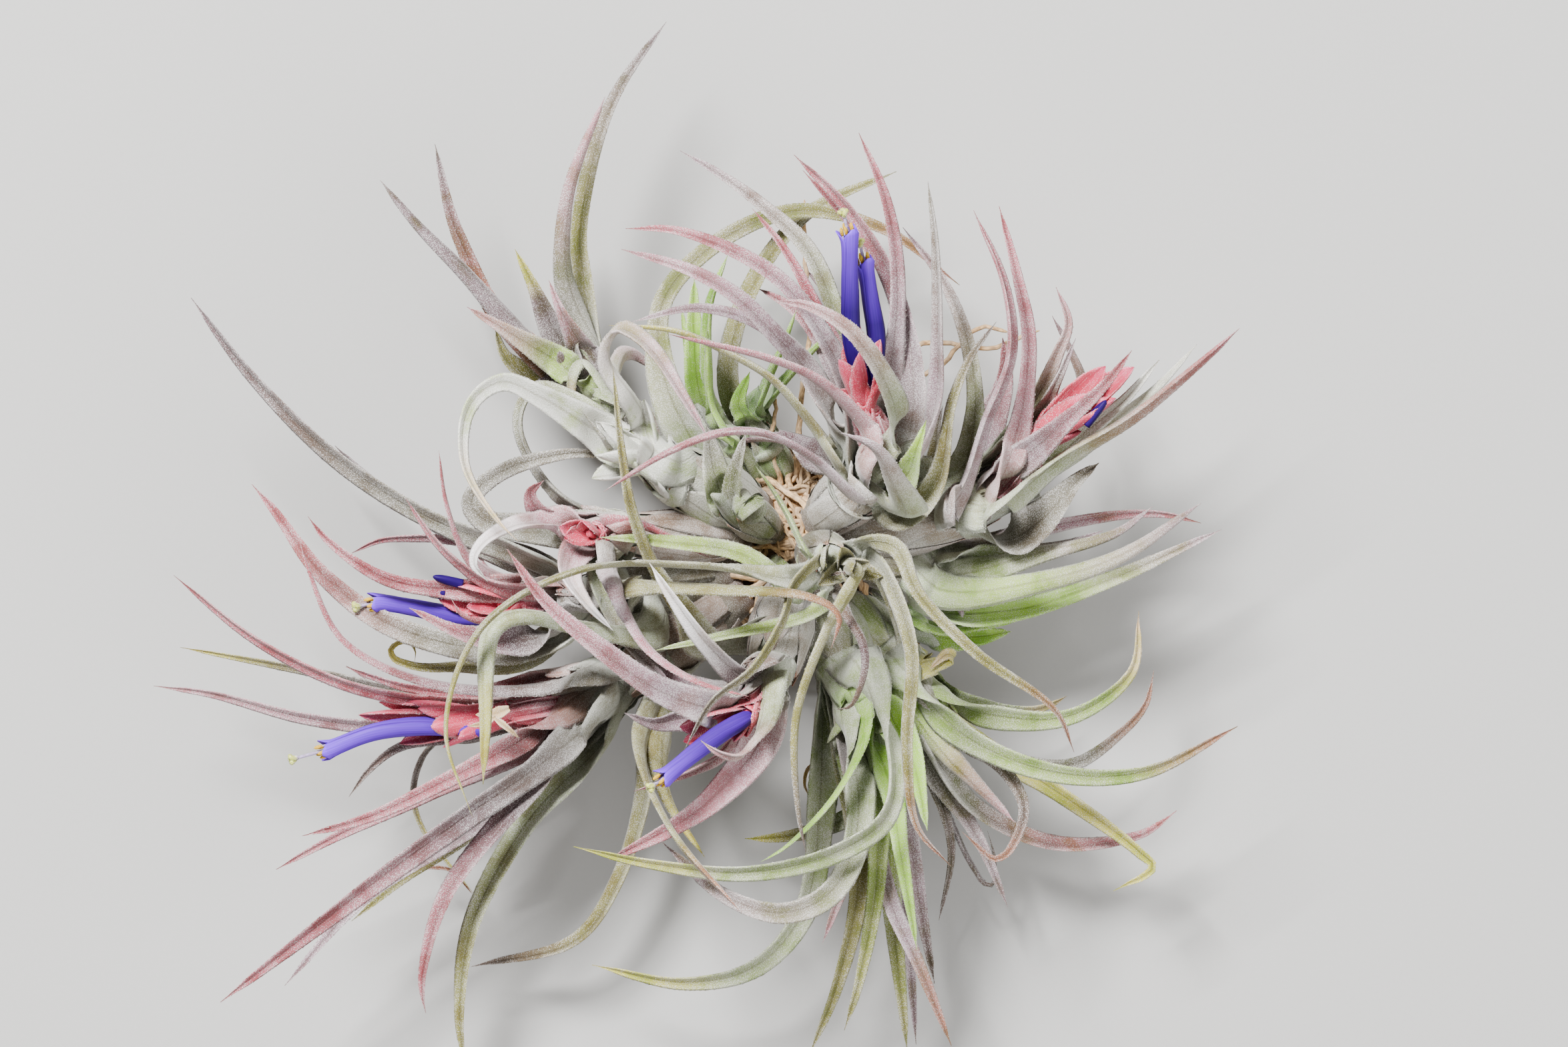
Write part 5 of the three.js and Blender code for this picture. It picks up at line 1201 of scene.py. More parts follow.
def grow_spike(growth, spike):
    """A stalk with its bracts, and shorter ones round its lower part, the outermost like leaves."""
    stalk, radius = spike["stalk"], spike["radius"]
    foot, top = np.array(stalk, float)
    line = spaced((foot, top, top + (top - foot) * 0.5), STALK_RINGS)
    radii = radius * np.interp(np.linspace(0, 1, STALK_RINGS), *STALK_PROFILE)
    bract, tint = growth.shade("bract", 0.08), growth.shade("bract_tip", 0.04)
    blush = growth.shade("blush", 0.3)
    leafy = blush * 0.5 + bract * 0.5
    grow_rod(growth, line, radii, 16, faded((leafy, bract), (0, 0.6), STALK_RINGS), 0)
    axis = unit(top - foot)
    for index in range(LOWER_BRACTS):
        side = round_axis(axis, index * GOLDEN_ANGLE + 1)
        tip = foot + (top - foot) * (0.6 + 0.13 * index) + side * radius * 1.15
        pink = (index / (LOWER_BRACTS - 1)) ** 0.4
        shades = (leafy, leafy * (1 - pink) + blush * pink, blush * (1 - pink) + bract * pink, bract)
        grow_bract(growth, stalk, radius * 1.7, tip, 0.02, shades)
    for width, tip in (*spike["bracts"], *spike.get("cover", ())):
        grow_bract(growth, stalk, width, tip, 0.35, (blush, bract, bract, tint))


def grow_young_leaves(growth, parent):
    """The young leaves in a rosette's heart, the innermost closed and upright."""
    _, heart, axis, _ = bulb_axis(parent)
    girth = parent["girth"]
    stalk = (heart - axis * 4, heart + axis * girth * 0.5)
    sheath, body = growth.shade("sheath"), growth.shade(parent["leaves"][0]["tints"][0])
    for index in range(YOUNG_LEAVES):
        side = round_axis(axis, index * GOLDEN_ANGLE)
        tip = heart + axis * girth * (1.3 + 0.25 * index) + side * girth * (1.3 - 0.2 * index)
        grow_bract(growth, stalk, girth * 0.5, tip, 0.1, (sheath, sheath * 0.5 + body * 0.5, body, body))


def grow_rosette(growth, name, leaves):
    """A rosette's bulb, its leaves from the lowest up, the young ones in its heart, and its remains."""
    parent = ROSETTES[name]
    grow_bulb(growth, parent)
    leaves.sort(key=lambda each: each["centres"][4][2])
    for place, each in enumerate(leaves):
        grow_leaf(growth, each, SHEATH_LIFT + SHEATH_LAYER * (len(leaves) - place))
    if not parent["bare"] and name.replace("rosette", "bracts") not in SPIKES:
        grow_young_leaves(growth, parent)
    for tint, width, route in REMAINS.get(name, ()):
        grow_remains(growth, tint, width, route)


def grow_petals(growth, route, stigma, pale):
    """Three petals rolled round each other into a tube, their tips turned out at the mouth.

    Pale says how far their violet goes towards lavender, which paints light on a flower that should look
    more brightly lit.
    """
    mouth = np.array(route[-1], float)
    outward = unit(np.subtract(stigma, mouth))
    first, second = np.array(route[:2], float)
    hidden = first - unit(second - first) * PETALS_HIDDEN - (0, 0, PETALS_SINK)
    line = spaced((hidden, *route, mouth + outward * PETAL_TIP), PETAL_RINGS)
    tangents = directions(line)
    normals = carried(tangents, ROD_FACING)
    share = np.linspace(0, 1, PETAL_RINGS)
    radius = TUBE_RADIUS * np.interp(share, *PETAL_PROFILE)
    ending = np.clip((share - 0.86) / 0.14, 0, 1)
    span = PETAL_SPAN * np.sqrt(np.maximum(1 - ending ** 2.5, 0.02))
    lavender = growth.shade("lavender")
    violet = growth.shade("violet") * (1 - pale) + lavender * pale
    shades = (lavender, violet, violet, violet * 0.6 + lavender * 0.4, lavender)
    spread = np.concatenate([OUTSIDE, CLASPING_INSIDE])
    thin = np.concatenate([np.zeros(len(OUTSIDE)), PETAL_THICKNESS * (1 - 0.5 * CLASPING_INSIDE ** 2)])
    reach = radius[:, None] * (1 + 0.02 * spread) - thin
    for petal in range(3):
        angle = petal * 2 * math.pi / 3 + spread * span[:, None] + 0.9 * share[:, None]
        rings = laid(line, tangents, normals, reach * np.cos(angle), reach * np.sin(angle))
        places = ring_places(span * radius, length_of(line), petal)
        growth.loft(rings, faded(shades, PETAL_STOPS, PETAL_RINGS), places)


def grow_bud(growth, ends):
    """A closed petal tip between bracts, its petals twisted round each other."""
    radii = BUD_RADIUS * np.sqrt(np.maximum(1 - np.linspace(0, 1, BUD_RINGS) ** 3 * 0.97, 0.01))
    line = spaced(ends, BUD_RINGS)
    grow_rod(growth, line, radii, 24, growth.shade("violet"), 0, lobes=3, depth=0.07, turn=2.4)


def grow_style(growth, route, stigma):
    """The style, from inside the mouth to its stigma of three curled lobes."""
    mouth, end = np.array(route[-1], float), np.array(stigma, float)
    outward = unit(end - mouth)
    line = spaced((mouth - outward * STYLE_HIDDEN, mouth, end), STYLE_RINGS)
    style, cream = growth.shade("style"), growth.shade("stigma")
    grow_rod(growth, line, np.linspace(*STYLE_RADII, STYLE_RINGS), 10, style, 1)
    radii = np.interp(np.linspace(0, 1, LOBE_RINGS), *LOBE_PROFILE)
    tints = faded((style, cream, cream), (0, 0.3, 1), LOBE_RINGS)
    for lobe in range(3):
        turn = np.linspace(0, LOBE_CURL, len(LOBE_RISE)) + lobe * 2 * math.pi / 3
        curl = round_axis(outward, turn) * LOBE_SPREAD[:, None]
        line = spaced(end + outward * LOBE_RISE[:, None] + curl, LOBE_RINGS)
        grow_rod(growth, line, radii, 10, tints, lobe, scales=LOBE_SCALES)


def grow_stamens(growth, route, stigma):
    """Slim filaments round the style, each with a long anther just out of the mouth."""
    mouth = np.array(route[-1], float)
    outward = unit(np.subtract(stigma, mouth))
    beside = unit(np.cross((0, 0, 1), outward))
    above = np.cross(outward, beside)
    swelling = ANTHER_RADIUS * np.sqrt(np.maximum(1 - np.linspace(-1, 1, ANTHER_RINGS) ** 2, 0.04))
    for index, (turn, reach) in enumerate(STAMENS):
        side = (beside * math.cos(turn) + above * math.sin(turn)) * reach
        tip = mouth + side + outward * (0.5 + 1.1 * ((index * 0.37) % 1))
        filament = spaced((mouth + side - outward * 2, tip), 6)
        grow_rod(growth, filament, np.full(6, FILAMENT_RADIUS), 8, growth.shade("style"), index)
        ends = (tip - outward * 0.3, tip + outward * 1.0 + above * 0.1, tip + outward * 1.9)
        line = spaced(ends, ANTHER_RINGS)
        grow_rod(growth, line, swelling, 10, growth.shade("anther"), index, lobes=2, depth=0.18)


def heading(lean, turn):
    """The direction that leans so far from straight up, towards a turn round it."""
    level = np.sin(lean)
    return np.stack([level * np.cos(turn), level * np.sin(turn), np.cos(lean) + 0 * turn], axis=-1)


def grow_root(growth, line, size, tint, number):
    """One wiry root along a line, a little uneven, thinning to its end, and lying on the floor at most."""
    count = len(line)
    radius = growth.sizes.root_thickness / MM / 2 * size
    line[:, 2] = np.maximum(line[:, 2], radius * 1.2)
    radii = radius * (1.15 - 0.5 * np.linspace(0, 1, count)) * (0.9 + 0.2 * growth.random.random(count))
    radii[-1] *= 0.3
    grow_rod(growth, line, radii, ROOT_SIDES, tint, number)


def grow_crown(growth):
    """The woody crown, lumpy all over and flat where it rests."""
    centre, radii = np.array(CROWN_CENTRE, float), np.array(CROWN_RADII, float)
    lean = np.linspace(math.acos(-centre[2] / radii[2]), 0.06, CROWN_RINGS)[:, None]
    outward = heading(lean, turns_round(CROWN_SIDES))
    x, y, z = np.moveaxis(outward, -1, 0)
    swell = 0.93 + 0.03 * np.sin(5 * x + 1.3) * np.cos(4 * y - 0.7)
    swell = swell + 0.025 * np.sin(13 * x) * np.sin(11 * y + 8 * z)
    rings = centre + outward * radii * swell[..., None]
    rings[0, :, 2] = 0
    rings[..., 2] = np.maximum(rings[..., 2], 0)
    bark = growth.shade("bark")
    growth.loft(rings, faded((bark, bark * 1.2, bark), (0, 0.5, 1), CROWN_RINGS), rod_places(rings, 0))


def grow_loose_roots(growth):
    """The few roots that stand out of the crown among the leaves."""
    for number, route in enumerate(LOOSE_ROOTS):
        line = spaced((CROWN_CENTRE, *route), LOOSE_ROOT_RINGS)
        line[1:-1] += (growth.random.random((LOOSE_ROOT_RINGS - 2, 3)) - 0.5) * 0.5
        grow_root(growth, line, 0.9, growth.shade("root"), number)


def grow_wound_roots(growth):
    """The wiry roots that wind down over the crown."""
    random = growth.random
    share = np.linspace(0, 1, 7)
    for number in range(growth.sizes.root_count):
        turn = random.random() * 2 * math.pi
        sweep = (random.random() - 0.5) * 3.2
        stand_off = 0.97 + random.random() * 0.16
        bend = turn + sweep * share + (random.random(7) - 0.5) * 0.35
        lean = 0.15 + random.random() * 0.8 + 0.9 * share + (random.random(7) - 0.5) * 0.22
        reach = stand_off + (random.random(7) - 0.5) * 0.06
        reach[0] = 0.85
        route = np.array(CROWN_CENTRE) + heading(lean, bend) * reach[:, None] * CROWN_RADII
        size = 0.45 + 0.75 * random.random()
        tint = growth.shade("root") * (0.7 + 0.6 * random.random())
        grow_root(growth, spaced(route, WOUND_ROOT_RINGS), size, tint, number)


def grow_tangle(growth):
    """The curled roots on top of the crown, which show between the leaves."""
    random = growth.random
    for number in range(TANGLE_ROOTS):
        spots = TANGLE_CENTRE + (random.random((6, 2)) * 2 - 1) * TANGLE_SPREAD
        steepness = 1 - np.sum((spots / CROWN_RADII[:2]) ** 2, axis=1)
        dome = CROWN_CENTRE[2] + CROWN_RADII[2] * np.sqrt(np.maximum(steepness, 0.04)) * 0.95
        line = spaced(np.column_stack([spots, dome + random.random(6) * 3.5]), TANGLE_ROOT_RINGS)
        size = 0.4 + 0.5 * random.random()
        grow_root(growth, line, size, growth.shade("root") * (0.75 + 0.5 * random.random()), number)


class Wire:
    """A node's output. Arithmetic on it adds Math nodes to its finish."""

    def __init__(self, finish, socket):
        self.finish = finish
        self.socket = socket

    def maths(self, operation, *values):
        """A Math node; its values are numbers or other outputs."""
        return self.finish.add("ShaderNodeMath", {"operation": operation}, dict(enumerate(values)))

    def __add__(self, other):
        return self.maths("ADD", self, other)

    def __radd__(self, other):
        return self.maths("ADD", other, self)

    def __sub__(self, other):
        return self.maths("SUBTRACT", self, other)

    def __rsub__(self, other):
        return self.maths("SUBTRACT", other, self)

    def __mul__(self, other):
        return self.maths("MULTIPLY", self, other)

    def __rmul__(self, other):
        return self.maths("MULTIPLY", other, self)

    def __pow__(self, other):
        return self.maths("POWER", self, other)

    def at_least(self, limit):
        return self.maths("MAXIMUM", self, limit)

    def between(self, low, high):
        """0 below low, 1 above high, and a smooth rise between them."""
        settings = {"interpolation_type": "SMOOTHSTEP"}
        return self.finish.add("ShaderNodeMapRange", settings, {0: self, 1: low, 2: high})


class Finish:
    """A material while its nodes are laid, round one Principled BSDF."""

    def __init__(self, name, constants):
        self.material = bpy.data.materials.new(name)
        self.material.use_nodes = True
        self.tree = self.material.node_tree
        self.shader = self.tree.nodes["Principled BSDF"]
        for socket, value in constants.items():
            self.shader.inputs[socket].default_value = value

    def feed(self, socket, value):
        if isinstance(value, Wire):
            self.tree.links.new(value.socket, socket)
        else:
            socket.default_value = value

    def add(self, kind, settings=(), sockets=(), output=0):
        """A node of a kind: its settings are made first, then its sockets get their values or links."""
        node = self.tree.nodes.new(kind)
        for key, value in dict(settings).items():
            setattr(node, key, value)
        for key, value in dict(sockets).items():
            self.feed(node.inputs[key], value)
        return Wire(self, node.outputs[output])

    def mix(self, share, first, second, blend="MIX"):
        """A colour part of the way from the first to the second."""
        settings = {"data_type": "RGBA", "blend_type": blend}
        return self.add("ShaderNodeMix", settings, {0: share, 6: first, 7: second}, output=2)

    def multiplied(self, colour, by):
        """A colour with its red, green and blue multiplied by three numbers."""
        return self.mix(1.0, colour, plain(by), "MULTIPLY")

    def attribute(self, name, output="Color"):
        return self.add("ShaderNodeAttribute", {"attribute_name": name}, output=output)

    def everywhere(self):
        """The place in the object, in metres."""
        return self.add("ShaderNodeTexCoord", output="Object")

    def scaled(self, vector, scale):
        settings = {"operation": "MULTIPLY"}
        return self.add("ShaderNodeVectorMath", settings, {0: vector, 1: scale})

    def noise(self, vector, scale, detail=2.0):
        return self.add("ShaderNodeTexNoise", {}, {"Vector": vector, "Scale": scale, "Detail": detail})

    def streaks(self, scale, detail=2.0):
        """Noise along each form; the scale is its waves a millimetre across the form and along it."""
        return self.noise(self.scaled(self.attribute("place", "Vector"), scale), 1.0, detail)

    def cells(self, vector, scale):
        return self.add("ShaderNodeTexVoronoi", {}, {"Vector": vector, "Scale": scale})

    def bump(self, height, depth, strength=1.0):
        sockets = {"Strength": strength, "Distance": depth, "Height": height}
        return self.add("ShaderNodeBump", {}, sockets, output="Normal")

    def done(self, skin, normal):
        """The finished material, with the colour and the fine relief of its surface linked."""
        self.feed(self.shader.inputs["Base Color"], skin)
        self.feed(self.shader.inputs["Normal"], normal)
        return self.material


def plain(colour):
    """A colour as a node takes it, with nothing seen through it."""
    return (*colour, 1.0)


def frosted(finish, tint, rubbed, colours):
    """A tint under pale scales as thick as its fourth part says, rubbed off in patches; and their grain."""
    frost = finish.attribute("tint", "Alpha")
    here = finish.everywhere()
    patches = finish.noise(here, RUBBED_GRAIN, 3.0).between(0.34, 0.66)
    streaks = finish.streaks((1.9, 0.12, 1.0), 3.0)
    thickness = (frost * (0.4 + patches) + (streaks - 0.5) * 0.3).at_least(0.004)
    reach = thickness ** (1 / 3) * 0.66
    cells = finish.cells(here, SCALE_GRAIN)
    grain = 1.0 - cells.between(reach - 0.16, reach + 0.1)
    darker = finish.multiplied(tint, [0.8 * part for part in rubbed])
    under = finish.mix((patches + streaks * 1.2 - 0.3).between(0.0, 1.0), darker, tint)
    scales = finish.mix(0.36, plain(colours.white), tint)
    veiled = finish.mix(thickness * 0.25, under, scales)
    height = grain * 0.7 + streaks * 0.8
    return finish.mix(grain * 0.6, veiled, scales), height


def leaf_finish(name, rubbed, colours):
    """Leaf skin under a frost of pale scales, its own colour stronger where they have rubbed off, with
    painted shade along its middle crease.
    """
    finish = Finish(name, {
        "Roughness": 0.62, "Sheen Weight": 0.3, "Sheen Roughness": 0.4, "Specular IOR Level": 0.3,
    })
    skin, height = frosted(finish, finish.attribute("tint"), rubbed, colours)
    across = finish.add("ShaderNodeSeparateXYZ", {}, {0: finish.attribute("place", "Vector")})
    # Painted shade: a thin darker line along the middle of each leaf, where it is folded
    crease = across.maths("ABSOLUTE", across).between(0.0, 0.5)
    painted_crease_shade = finish.multiplied(skin, (0.74, 0.72, 0.68))
    return finish.done(finish.mix(crease, painted_crease_shade, skin), finish.bump(height + crease * 0.6, 0.00025, 0.7))


def bract_finish(name, colours):
    """Waxy pink bract, finely veined along its length, with a thin frost."""
    finish = Finish(name, {"Roughness": 0.5, "Sheen Weight": 0.15, "Specular IOR Level": 0.35})
    tint = finish.attribute("tint")
    veins = finish.streaks((2.6, 0.1, 1.0))
    body = finish.mix(veins.between(0.35, 0.65), finish.multiplied(tint, (0.85, 0.55, 0.62)), tint)
    skin, height = frosted(finish, body, (0.95, 0.7, 0.7), colours)
    return finish.done(skin, finish.bump(veins + height * 0.4, 0.0002, 0.6))


def petal_finish(name):
    """Satin violet petal with fine veins along it."""
    finish = Finish(name, {"Roughness": 0.5, "Specular IOR Level": 0.12})
    tint = finish.attribute("tint")
    veins = finish.streaks((3.4, 0.08, 5.0))
    skin = finish.mix(veins.between(0.3, 0.7), finish.multiplied(tint, (0.7, 0.6, 0.82)), tint)
    return finish.done(skin, finish.bump(veins, 0.00012, 0.5))


def flower_part_finish(name, roughness, grain_size):
    """The fine-grained skin of the styles, stigmas and anthers, its grain in waves a metre."""
    finish = Finish(name, {"Roughness": roughness})
    tint = finish.attribute("tint")
    grain = finish.noise(finish.everywhere(), grain_size).between(0.35, 0.65)
    skin = finish.mix(grain, finish.multiplied(tint, (0.72, 0.7, 0.6)), tint)
    return finish.done(skin, finish.bump(grain, 0.00012, 0.5))


def root_finish(name):
    """Dry fibrous bark, cracked along its length and paler on its ridges."""
    finish = Finish(name, {"Roughness": 0.85, "Specular IOR Level": 0.2})
    tint = finish.attribute("tint")
    fibres = finish.streaks((4.5, 0.7, 3.0), 4.0)
    blotches = finish.noise(finish.everywhere(), BARK_GRAIN, 3.0).between(0.35, 0.68)
    body = finish.mix(fibres.between(0.35, 0.62), finish.multiplied(tint, (0.45, 0.4, 0.36)), tint)
    skin = finish.mix(blotches * 0.35, body, plain((0.5, 0.42, 0.33)))
    return finish.done(skin, finish.bump(fibres + blotches * 0.5, 0.0004, 0.8))


def floor_finish(name, colour):
    """A plain matt pale surface."""
    finish = Finish(name, {"Roughness": 0.75, "Specular IOR Level": 0.2})
    grain = finish.noise(finish.everywhere(), FLOOR_GRAIN)
    skin = finish.mix(grain.between(0.3, 0.7), plain(colour), plain([0.985 * part for part in colour]))
    return finish.done(skin, finish.bump(grain, 0.00005, 0.2))


def swatch(name, description, default):
    """A colour that the user can change."""
    return bpy.props.FloatVectorProperty(
        name=name, description=description, default=default, size=3, min=0, max=1, subtype="COLOR",
    )


def measure(name, description, default):
    """A length that the user can change."""
    return bpy.props.FloatProperty(
        name=name, description=description, default=default, min=0, unit="LENGTH", subtype="DISTANCE",
    )


class ClumpColours(bpy.types.PropertyGroup):
    """The colours of the clump and of what it lies on."""

    sheath: swatch("Sheath", "Pale clasping leaf bases", (0.38, 0.42, 0.3))
    silver: swatch("Silver", "Silver grey-green leaves", (0.25, 0.3, 0.12))
    pearl: swatch("Pearl", "The palest grey leaves", (0.56, 0.57, 0.48))
    ash: swatch("Ash", "Neutral grey leaves", (0.15, 0.135, 0.09))
    mauve: swatch("Mauve", "Mauve-grey leaves", (0.24, 0.135, 0.17))
    # Painted shade: a darker copy of mauve for leaves on the left and lower left, where the light falls off
    heather: swatch("Heather", "Darker mauve-grey leaves", (0.105, 0.06, 0.07))
    blush: swatch("Blush", "Pinkish silver leaves", (0.37, 0.14, 0.175))
    rose: swatch("Rose", "Pink leaf tips and leaves", (0.34, 0.06, 0.085))
    plum: swatch("Plum", "Dark purple-brown leaves", (0.1, 0.045, 0.055))
    white: swatch("Frost", "The pale scales, and whitish leaf points", (0.88, 0.85, 0.84))
    mint: swatch("Mint", "Pale green leaves", (0.25, 0.36, 0.045))
    green: swatch("Green", "Fresh green offset leaves", (0.27, 0.48, 0.03))
    fern: swatch("Fern", "Darker green offset leaves", (0.17, 0.36, 0.035))
    olive: swatch("Olive", "Olive leaves", (0.18, 0.165, 0.02))
    straw: swatch("Straw", "Straw-yellow leaf ends", (0.42, 0.38, 0.03))
    cream: swatch("Cream", "Dried cream leaf ends", (0.62, 0.42, 0.2))
    rust: swatch("Rust", "Rust-orange leaves", (0.24, 0.05, 0.02))
    dry: swatch("Dry orange", "Dried orange-brown leaf ends", (0.27, 0.09, 0.04))
    brown: swatch("Brown", "Dried brown leaf ends", (0.09, 0.055, 0.04))
    bract: swatch("Bract", "Pink bracts", (0.56, 0.035, 0.09))
    bract_tip: swatch("Bract tip", "The tips of the bracts", (0.56, 0.06, 0.14))
    violet: swatch("Violet", "Petals", (0.015, 0.0005, 0.085))
    lavender: swatch("Lavender", "Petals at the mouth of a flower", (0.19, 0.045, 0.8))
    style: swatch("Style", "Styles and filaments", (0.36, 0.29, 0.5))
    stigma: swatch("Stigma", "Stigma lobes", (0.5, 0.55, 0.12))
    anther: swatch("Anther", "Anthers", (0.6, 0.36, 0.01))
    root: swatch("Root", "Wiry roots", (0.66, 0.43, 0.22))
    bark: swatch("Bark", "The woody crown", (0.16, 0.1, 0.06))
    floor: swatch("Floor", "The surface that the clump lies on", (0.4, 0.395, 0.385))


class ClumpSizes(bpy.types.PropertyGroup):
    """The sizes of the clump's fine parts."""

    keel_thickness: measure("Keel thickness", "Of a leaf, at its base", 0.0012)
    tip_thickness: measure("Tip thickness", "Of a leaf, at its tip", 0.00065)
    sheath_wrap: bpy.props.FloatProperty(
        name="Sheath wrap", description="How far a leaf's base reaches round the bulb, each way",
        default=math.radians(52), min=0.2, max=1.5, subtype="ANGLE",
    )
    scale_length: measure("Scale length", "Of the pale scales that stand off the leaves", 0.00025)
    scales_per_area: bpy.props.FloatProperty(
        name="Scales", description="Standing scales for each square millimetre of leaf, seen flat",
        default=1.5, min=0, max=6,
    )
    root_thickness: measure("Root thickness", "Of the wiry roots", 0.0016)
    root_count: bpy.props.IntProperty(
        name="Roots", description="Wiry roots wound over the crown", default=90, min=0, max=200,
    )


class ClumpStage(bpy.types.PropertyGroup):
    """The floor, the light and the view."""

    floor_size: measure("Floor size", "Side of the floor", 30.0)
    camera_distance: measure("Camera distance", "From the leaves to the lens", 4.0)
    key_power: bpy.props.FloatProperty(
        name="Key light", description="Power of the main soft light", default=140, min=0, unit="POWER",
    )
    fill_power: bpy.props.FloatProperty(
        name="Fill light", description="Power of the light from the other side", default=36, min=0,
        unit="POWER",
    )
    surroundings: bpy.props.FloatProperty(
        name="Surroundings", description="Brightness of the pale room round the clump", default=0.32, min=0,
    )


class GrowRosettes(bpy.types.Operator):
    """Grow the leaves, sheaths and bulbs of the rosettes and offsets"""

    bl_idname = "airplant.grow_rosettes"
    bl_label = "Rosettes"

    def execute(self, context):
        leaves = grow_leaves()
        bend_clear(leaves)
        for slot, (rubbed, names) in LEAF_FINISHES.items():
            material = leaf_finish(slot, rubbed, context.scene.clump_colours)
            for name in names:
                growth = Growth(context.scene, name)
                grow_rosette(growth, name, [each for each in leaves if each["owner"] == name])
                growth.piece(f"{name}_leaves", material, (name,))
        return {"FINISHED"}


class GrowBracts(bpy.types.Operator):
    """Grow the pink bracts of the spikes round their stalks"""

    bl_idname = "airplant.grow_bracts"
    bl_label = "Bracts"

    def execute(self, context):
        material = bract_finish("bract_pink", context.scene.clump_colours)
        for name, spike in SPIKES.items():
            growth = Growth(context.scene, name)
            grow_spike(growth, spike)
            growth.piece(f"{name}_cluster", material, (name,))
        return {"FINISHED"}


class GrowPetals(bpy.types.Operator):
    """Grow the violet petal tubes and the closed petal tips"""

    bl_idname = "airplant.grow_petals"
    bl_label = "Petals"

    def execute(self, context):
        material = petal_finish("petal_violet")
        for name, (route, stigma) in FLOWERS.items():
            growth = Growth(context.scene, name)
            grow_petals(growth, route, stigma, PETAL_PAINTED_LIGHT.get(name, 0))
            growth.piece(f"petal_tube_{name}", material, (f"petals_{name}",))
        for name, ends in BUD_TIPS.items():
            growth = Growth(context.scene, name)
            grow_bud(growth, ends)
            growth.piece(f"{name}_tip", material, (name,))
        return {"FINISHED"}


class GrowStyles(bpy.types.Operator):
    """Grow the styles with their stigmas, and the stamens round them"""

    bl_idname = "airplant.grow_styles"
    bl_label = "Styles and stamens"

    def execute(self, context):
        cream = flower_part_finish("stigma_cream", 0.45, 1500.0)
        yellow = flower_part_finish("anther_yellow", 0.7, 2600.0)
        for name, (route, stigma) in FLOWERS.items():
            growth = Growth(context.scene, name)
            grow_style(growth, route, stigma)
            growth.piece(f"style_and_stigma_{name}", cream, (f"style_{name}",))
            growth = Growth(context.scene, name)
            grow_stamens(growth, route, stigma)
            growth.piece(f"anthers_{name}", yellow, (f"stamens_{name}",))
        return {"FINISHED"}


class GrowRoots(bpy.types.Operator):
    """Grow the woody crown and its wiry roots"""

    bl_idname = "airplant.grow_roots"
    bl_label = "Root crown"

    def execute(self, context):
        growth = Growth(context.scene, "roots")
        grow_crown(growth)
        grow_loose_roots(growth)
        grow_wound_roots(growth)
        grow_tangle(growth)
        growth.piece("root_tangle", root_finish("root_bark"), ("root_crown",))
        return {"FINISHED"}


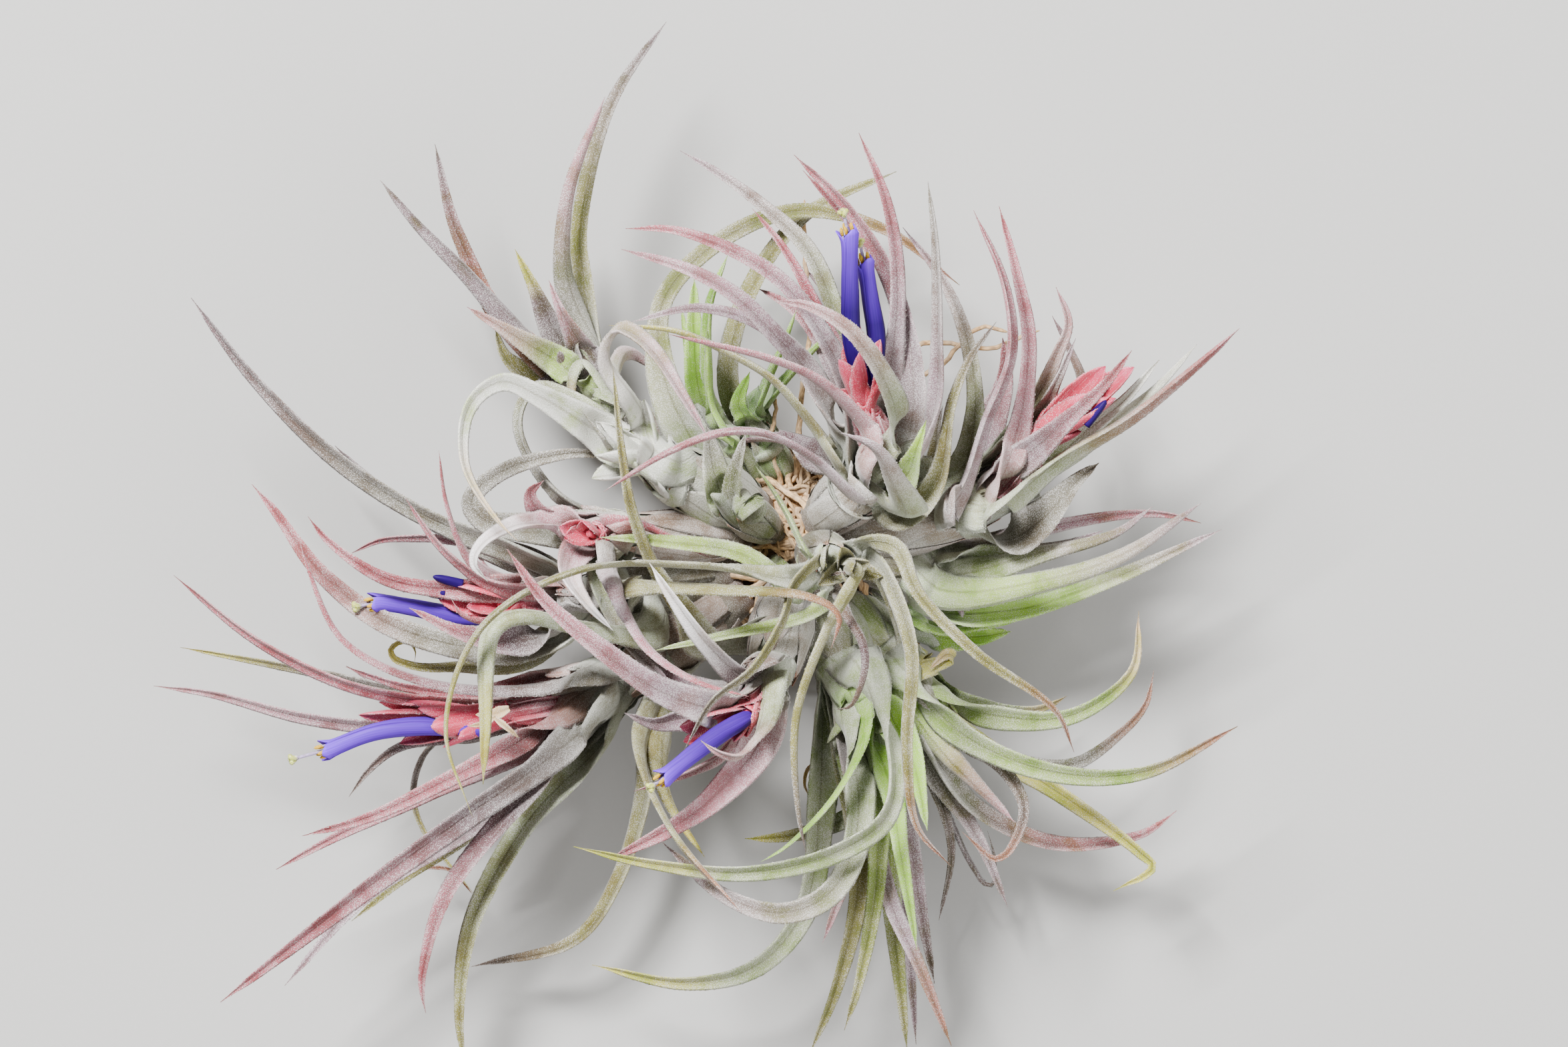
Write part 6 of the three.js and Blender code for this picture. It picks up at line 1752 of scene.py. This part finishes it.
class SetStage(bpy.types.Operator):
    """Lay the floor and set the soft lights, the pale surroundings and the camera straight above"""

    bl_idname = "airplant.set_stage"
    bl_label = "Floor, light and view"

    def execute(self, context):
        stage, colours = context.scene.clump_stage, context.scene.clump_colours
        half = stage.floor_size / 2
        mesh = bpy.data.meshes.new("floor")
        corners = [(-half, -half, 0), (half, -half, 0), (half, half, 0), (-half, half, 0)]
        mesh.from_pydata(corners, [], [(0, 1, 2, 3)])
        mesh.materials.append(floor_finish("floor_pale", colours.floor))
        floor = bpy.data.objects.new("floor", mesh)
        context.scene.collection.objects.link(floor)

        self.add_light(context, "key_light", stage.key_power, KEY_LIGHT_SIZE, KEY_LIGHT_PLACE)
        self.add_light(context, "fill_light", stage.fill_power, FILL_LIGHT_SIZE, FILL_LIGHT_PLACE)
        world = bpy.data.worlds.new("pale_room")
        world.use_nodes = True
        background = world.node_tree.nodes["Background"]
        background.inputs["Color"].default_value = ROOM_COLOUR
        background.inputs["Strength"].default_value = stage.surroundings
        context.scene.world = world

        lens = bpy.data.cameras.new("view")
        lens.sensor_width = SENSOR_WIDTH
        lens.lens = SENSOR_WIDTH * stage.camera_distance / (PICTURE_WIDTH * PIXEL * MM)
        lens.clip_start = 0.1
        lens.clip_end = 50
        camera = bpy.data.objects.new("view", lens)
        across, up, height = FRAME_CENTRE
        camera.location = (across, up, height + stage.camera_distance)
        context.scene.collection.objects.link(camera)
        context.scene.camera = camera
        return {"FINISHED"}

    @staticmethod
    def add_light(context, name, power, size, place):
        """A square soft light that faces the clump."""
        data = bpy.data.lights.new(name, "AREA")
        data.energy = power
        data.size = size
        light = bpy.data.objects.new(name, data)
        light.location = place
        x, y, z = (centre - part for centre, part in zip(FRAME_CENTRE, place))
        light.rotation_euler = (math.atan2(math.hypot(x, y), -z), 0, math.atan2(y, x) - math.pi / 2)
        context.scene.collection.objects.link(light)


OPERATORS = (GrowRosettes, GrowBracts, GrowPetals, GrowStyles, GrowRoots, SetStage)


class ClumpPanel(bpy.types.Panel):
    """The clump's settings and the steps that grow it"""

    bl_idname = "VIEW3D_PT_airplant"
    bl_label = "Air plant clump"
    bl_space_type = "VIEW_3D"
    bl_region_type = "UI"
    bl_category = "Air plant"

    def draw(self, context):
        for settings in (context.scene.clump_sizes, context.scene.clump_colours, context.scene.clump_stage):
            for name in settings.__annotations__:
                self.layout.prop(settings, name)
        for operator in OPERATORS:
            self.layout.operator(operator.bl_idname)


CLASSES = (ClumpColours, ClumpSizes, ClumpStage, *OPERATORS, ClumpPanel)


def register():
    for each in CLASSES:
        bpy.utils.register_class(each)
    bpy.types.Scene.clump_colours = bpy.props.PointerProperty(type=ClumpColours)
    bpy.types.Scene.clump_sizes = bpy.props.PointerProperty(type=ClumpSizes)
    bpy.types.Scene.clump_stage = bpy.props.PointerProperty(type=ClumpStage)


def unregister():
    del bpy.types.Scene.clump_colours
    del bpy.types.Scene.clump_sizes
    del bpy.types.Scene.clump_stage
    for each in reversed(CLASSES):
        bpy.utils.unregister_class(each)


def main():
    register()
    bpy.ops.airplant.set_stage()
    bpy.ops.airplant.grow_roots()
    bpy.ops.airplant.grow_rosettes()
    bpy.ops.airplant.grow_bracts()
    bpy.ops.airplant.grow_petals()
    bpy.ops.airplant.grow_styles()


if __name__ == "__main__":
    main()
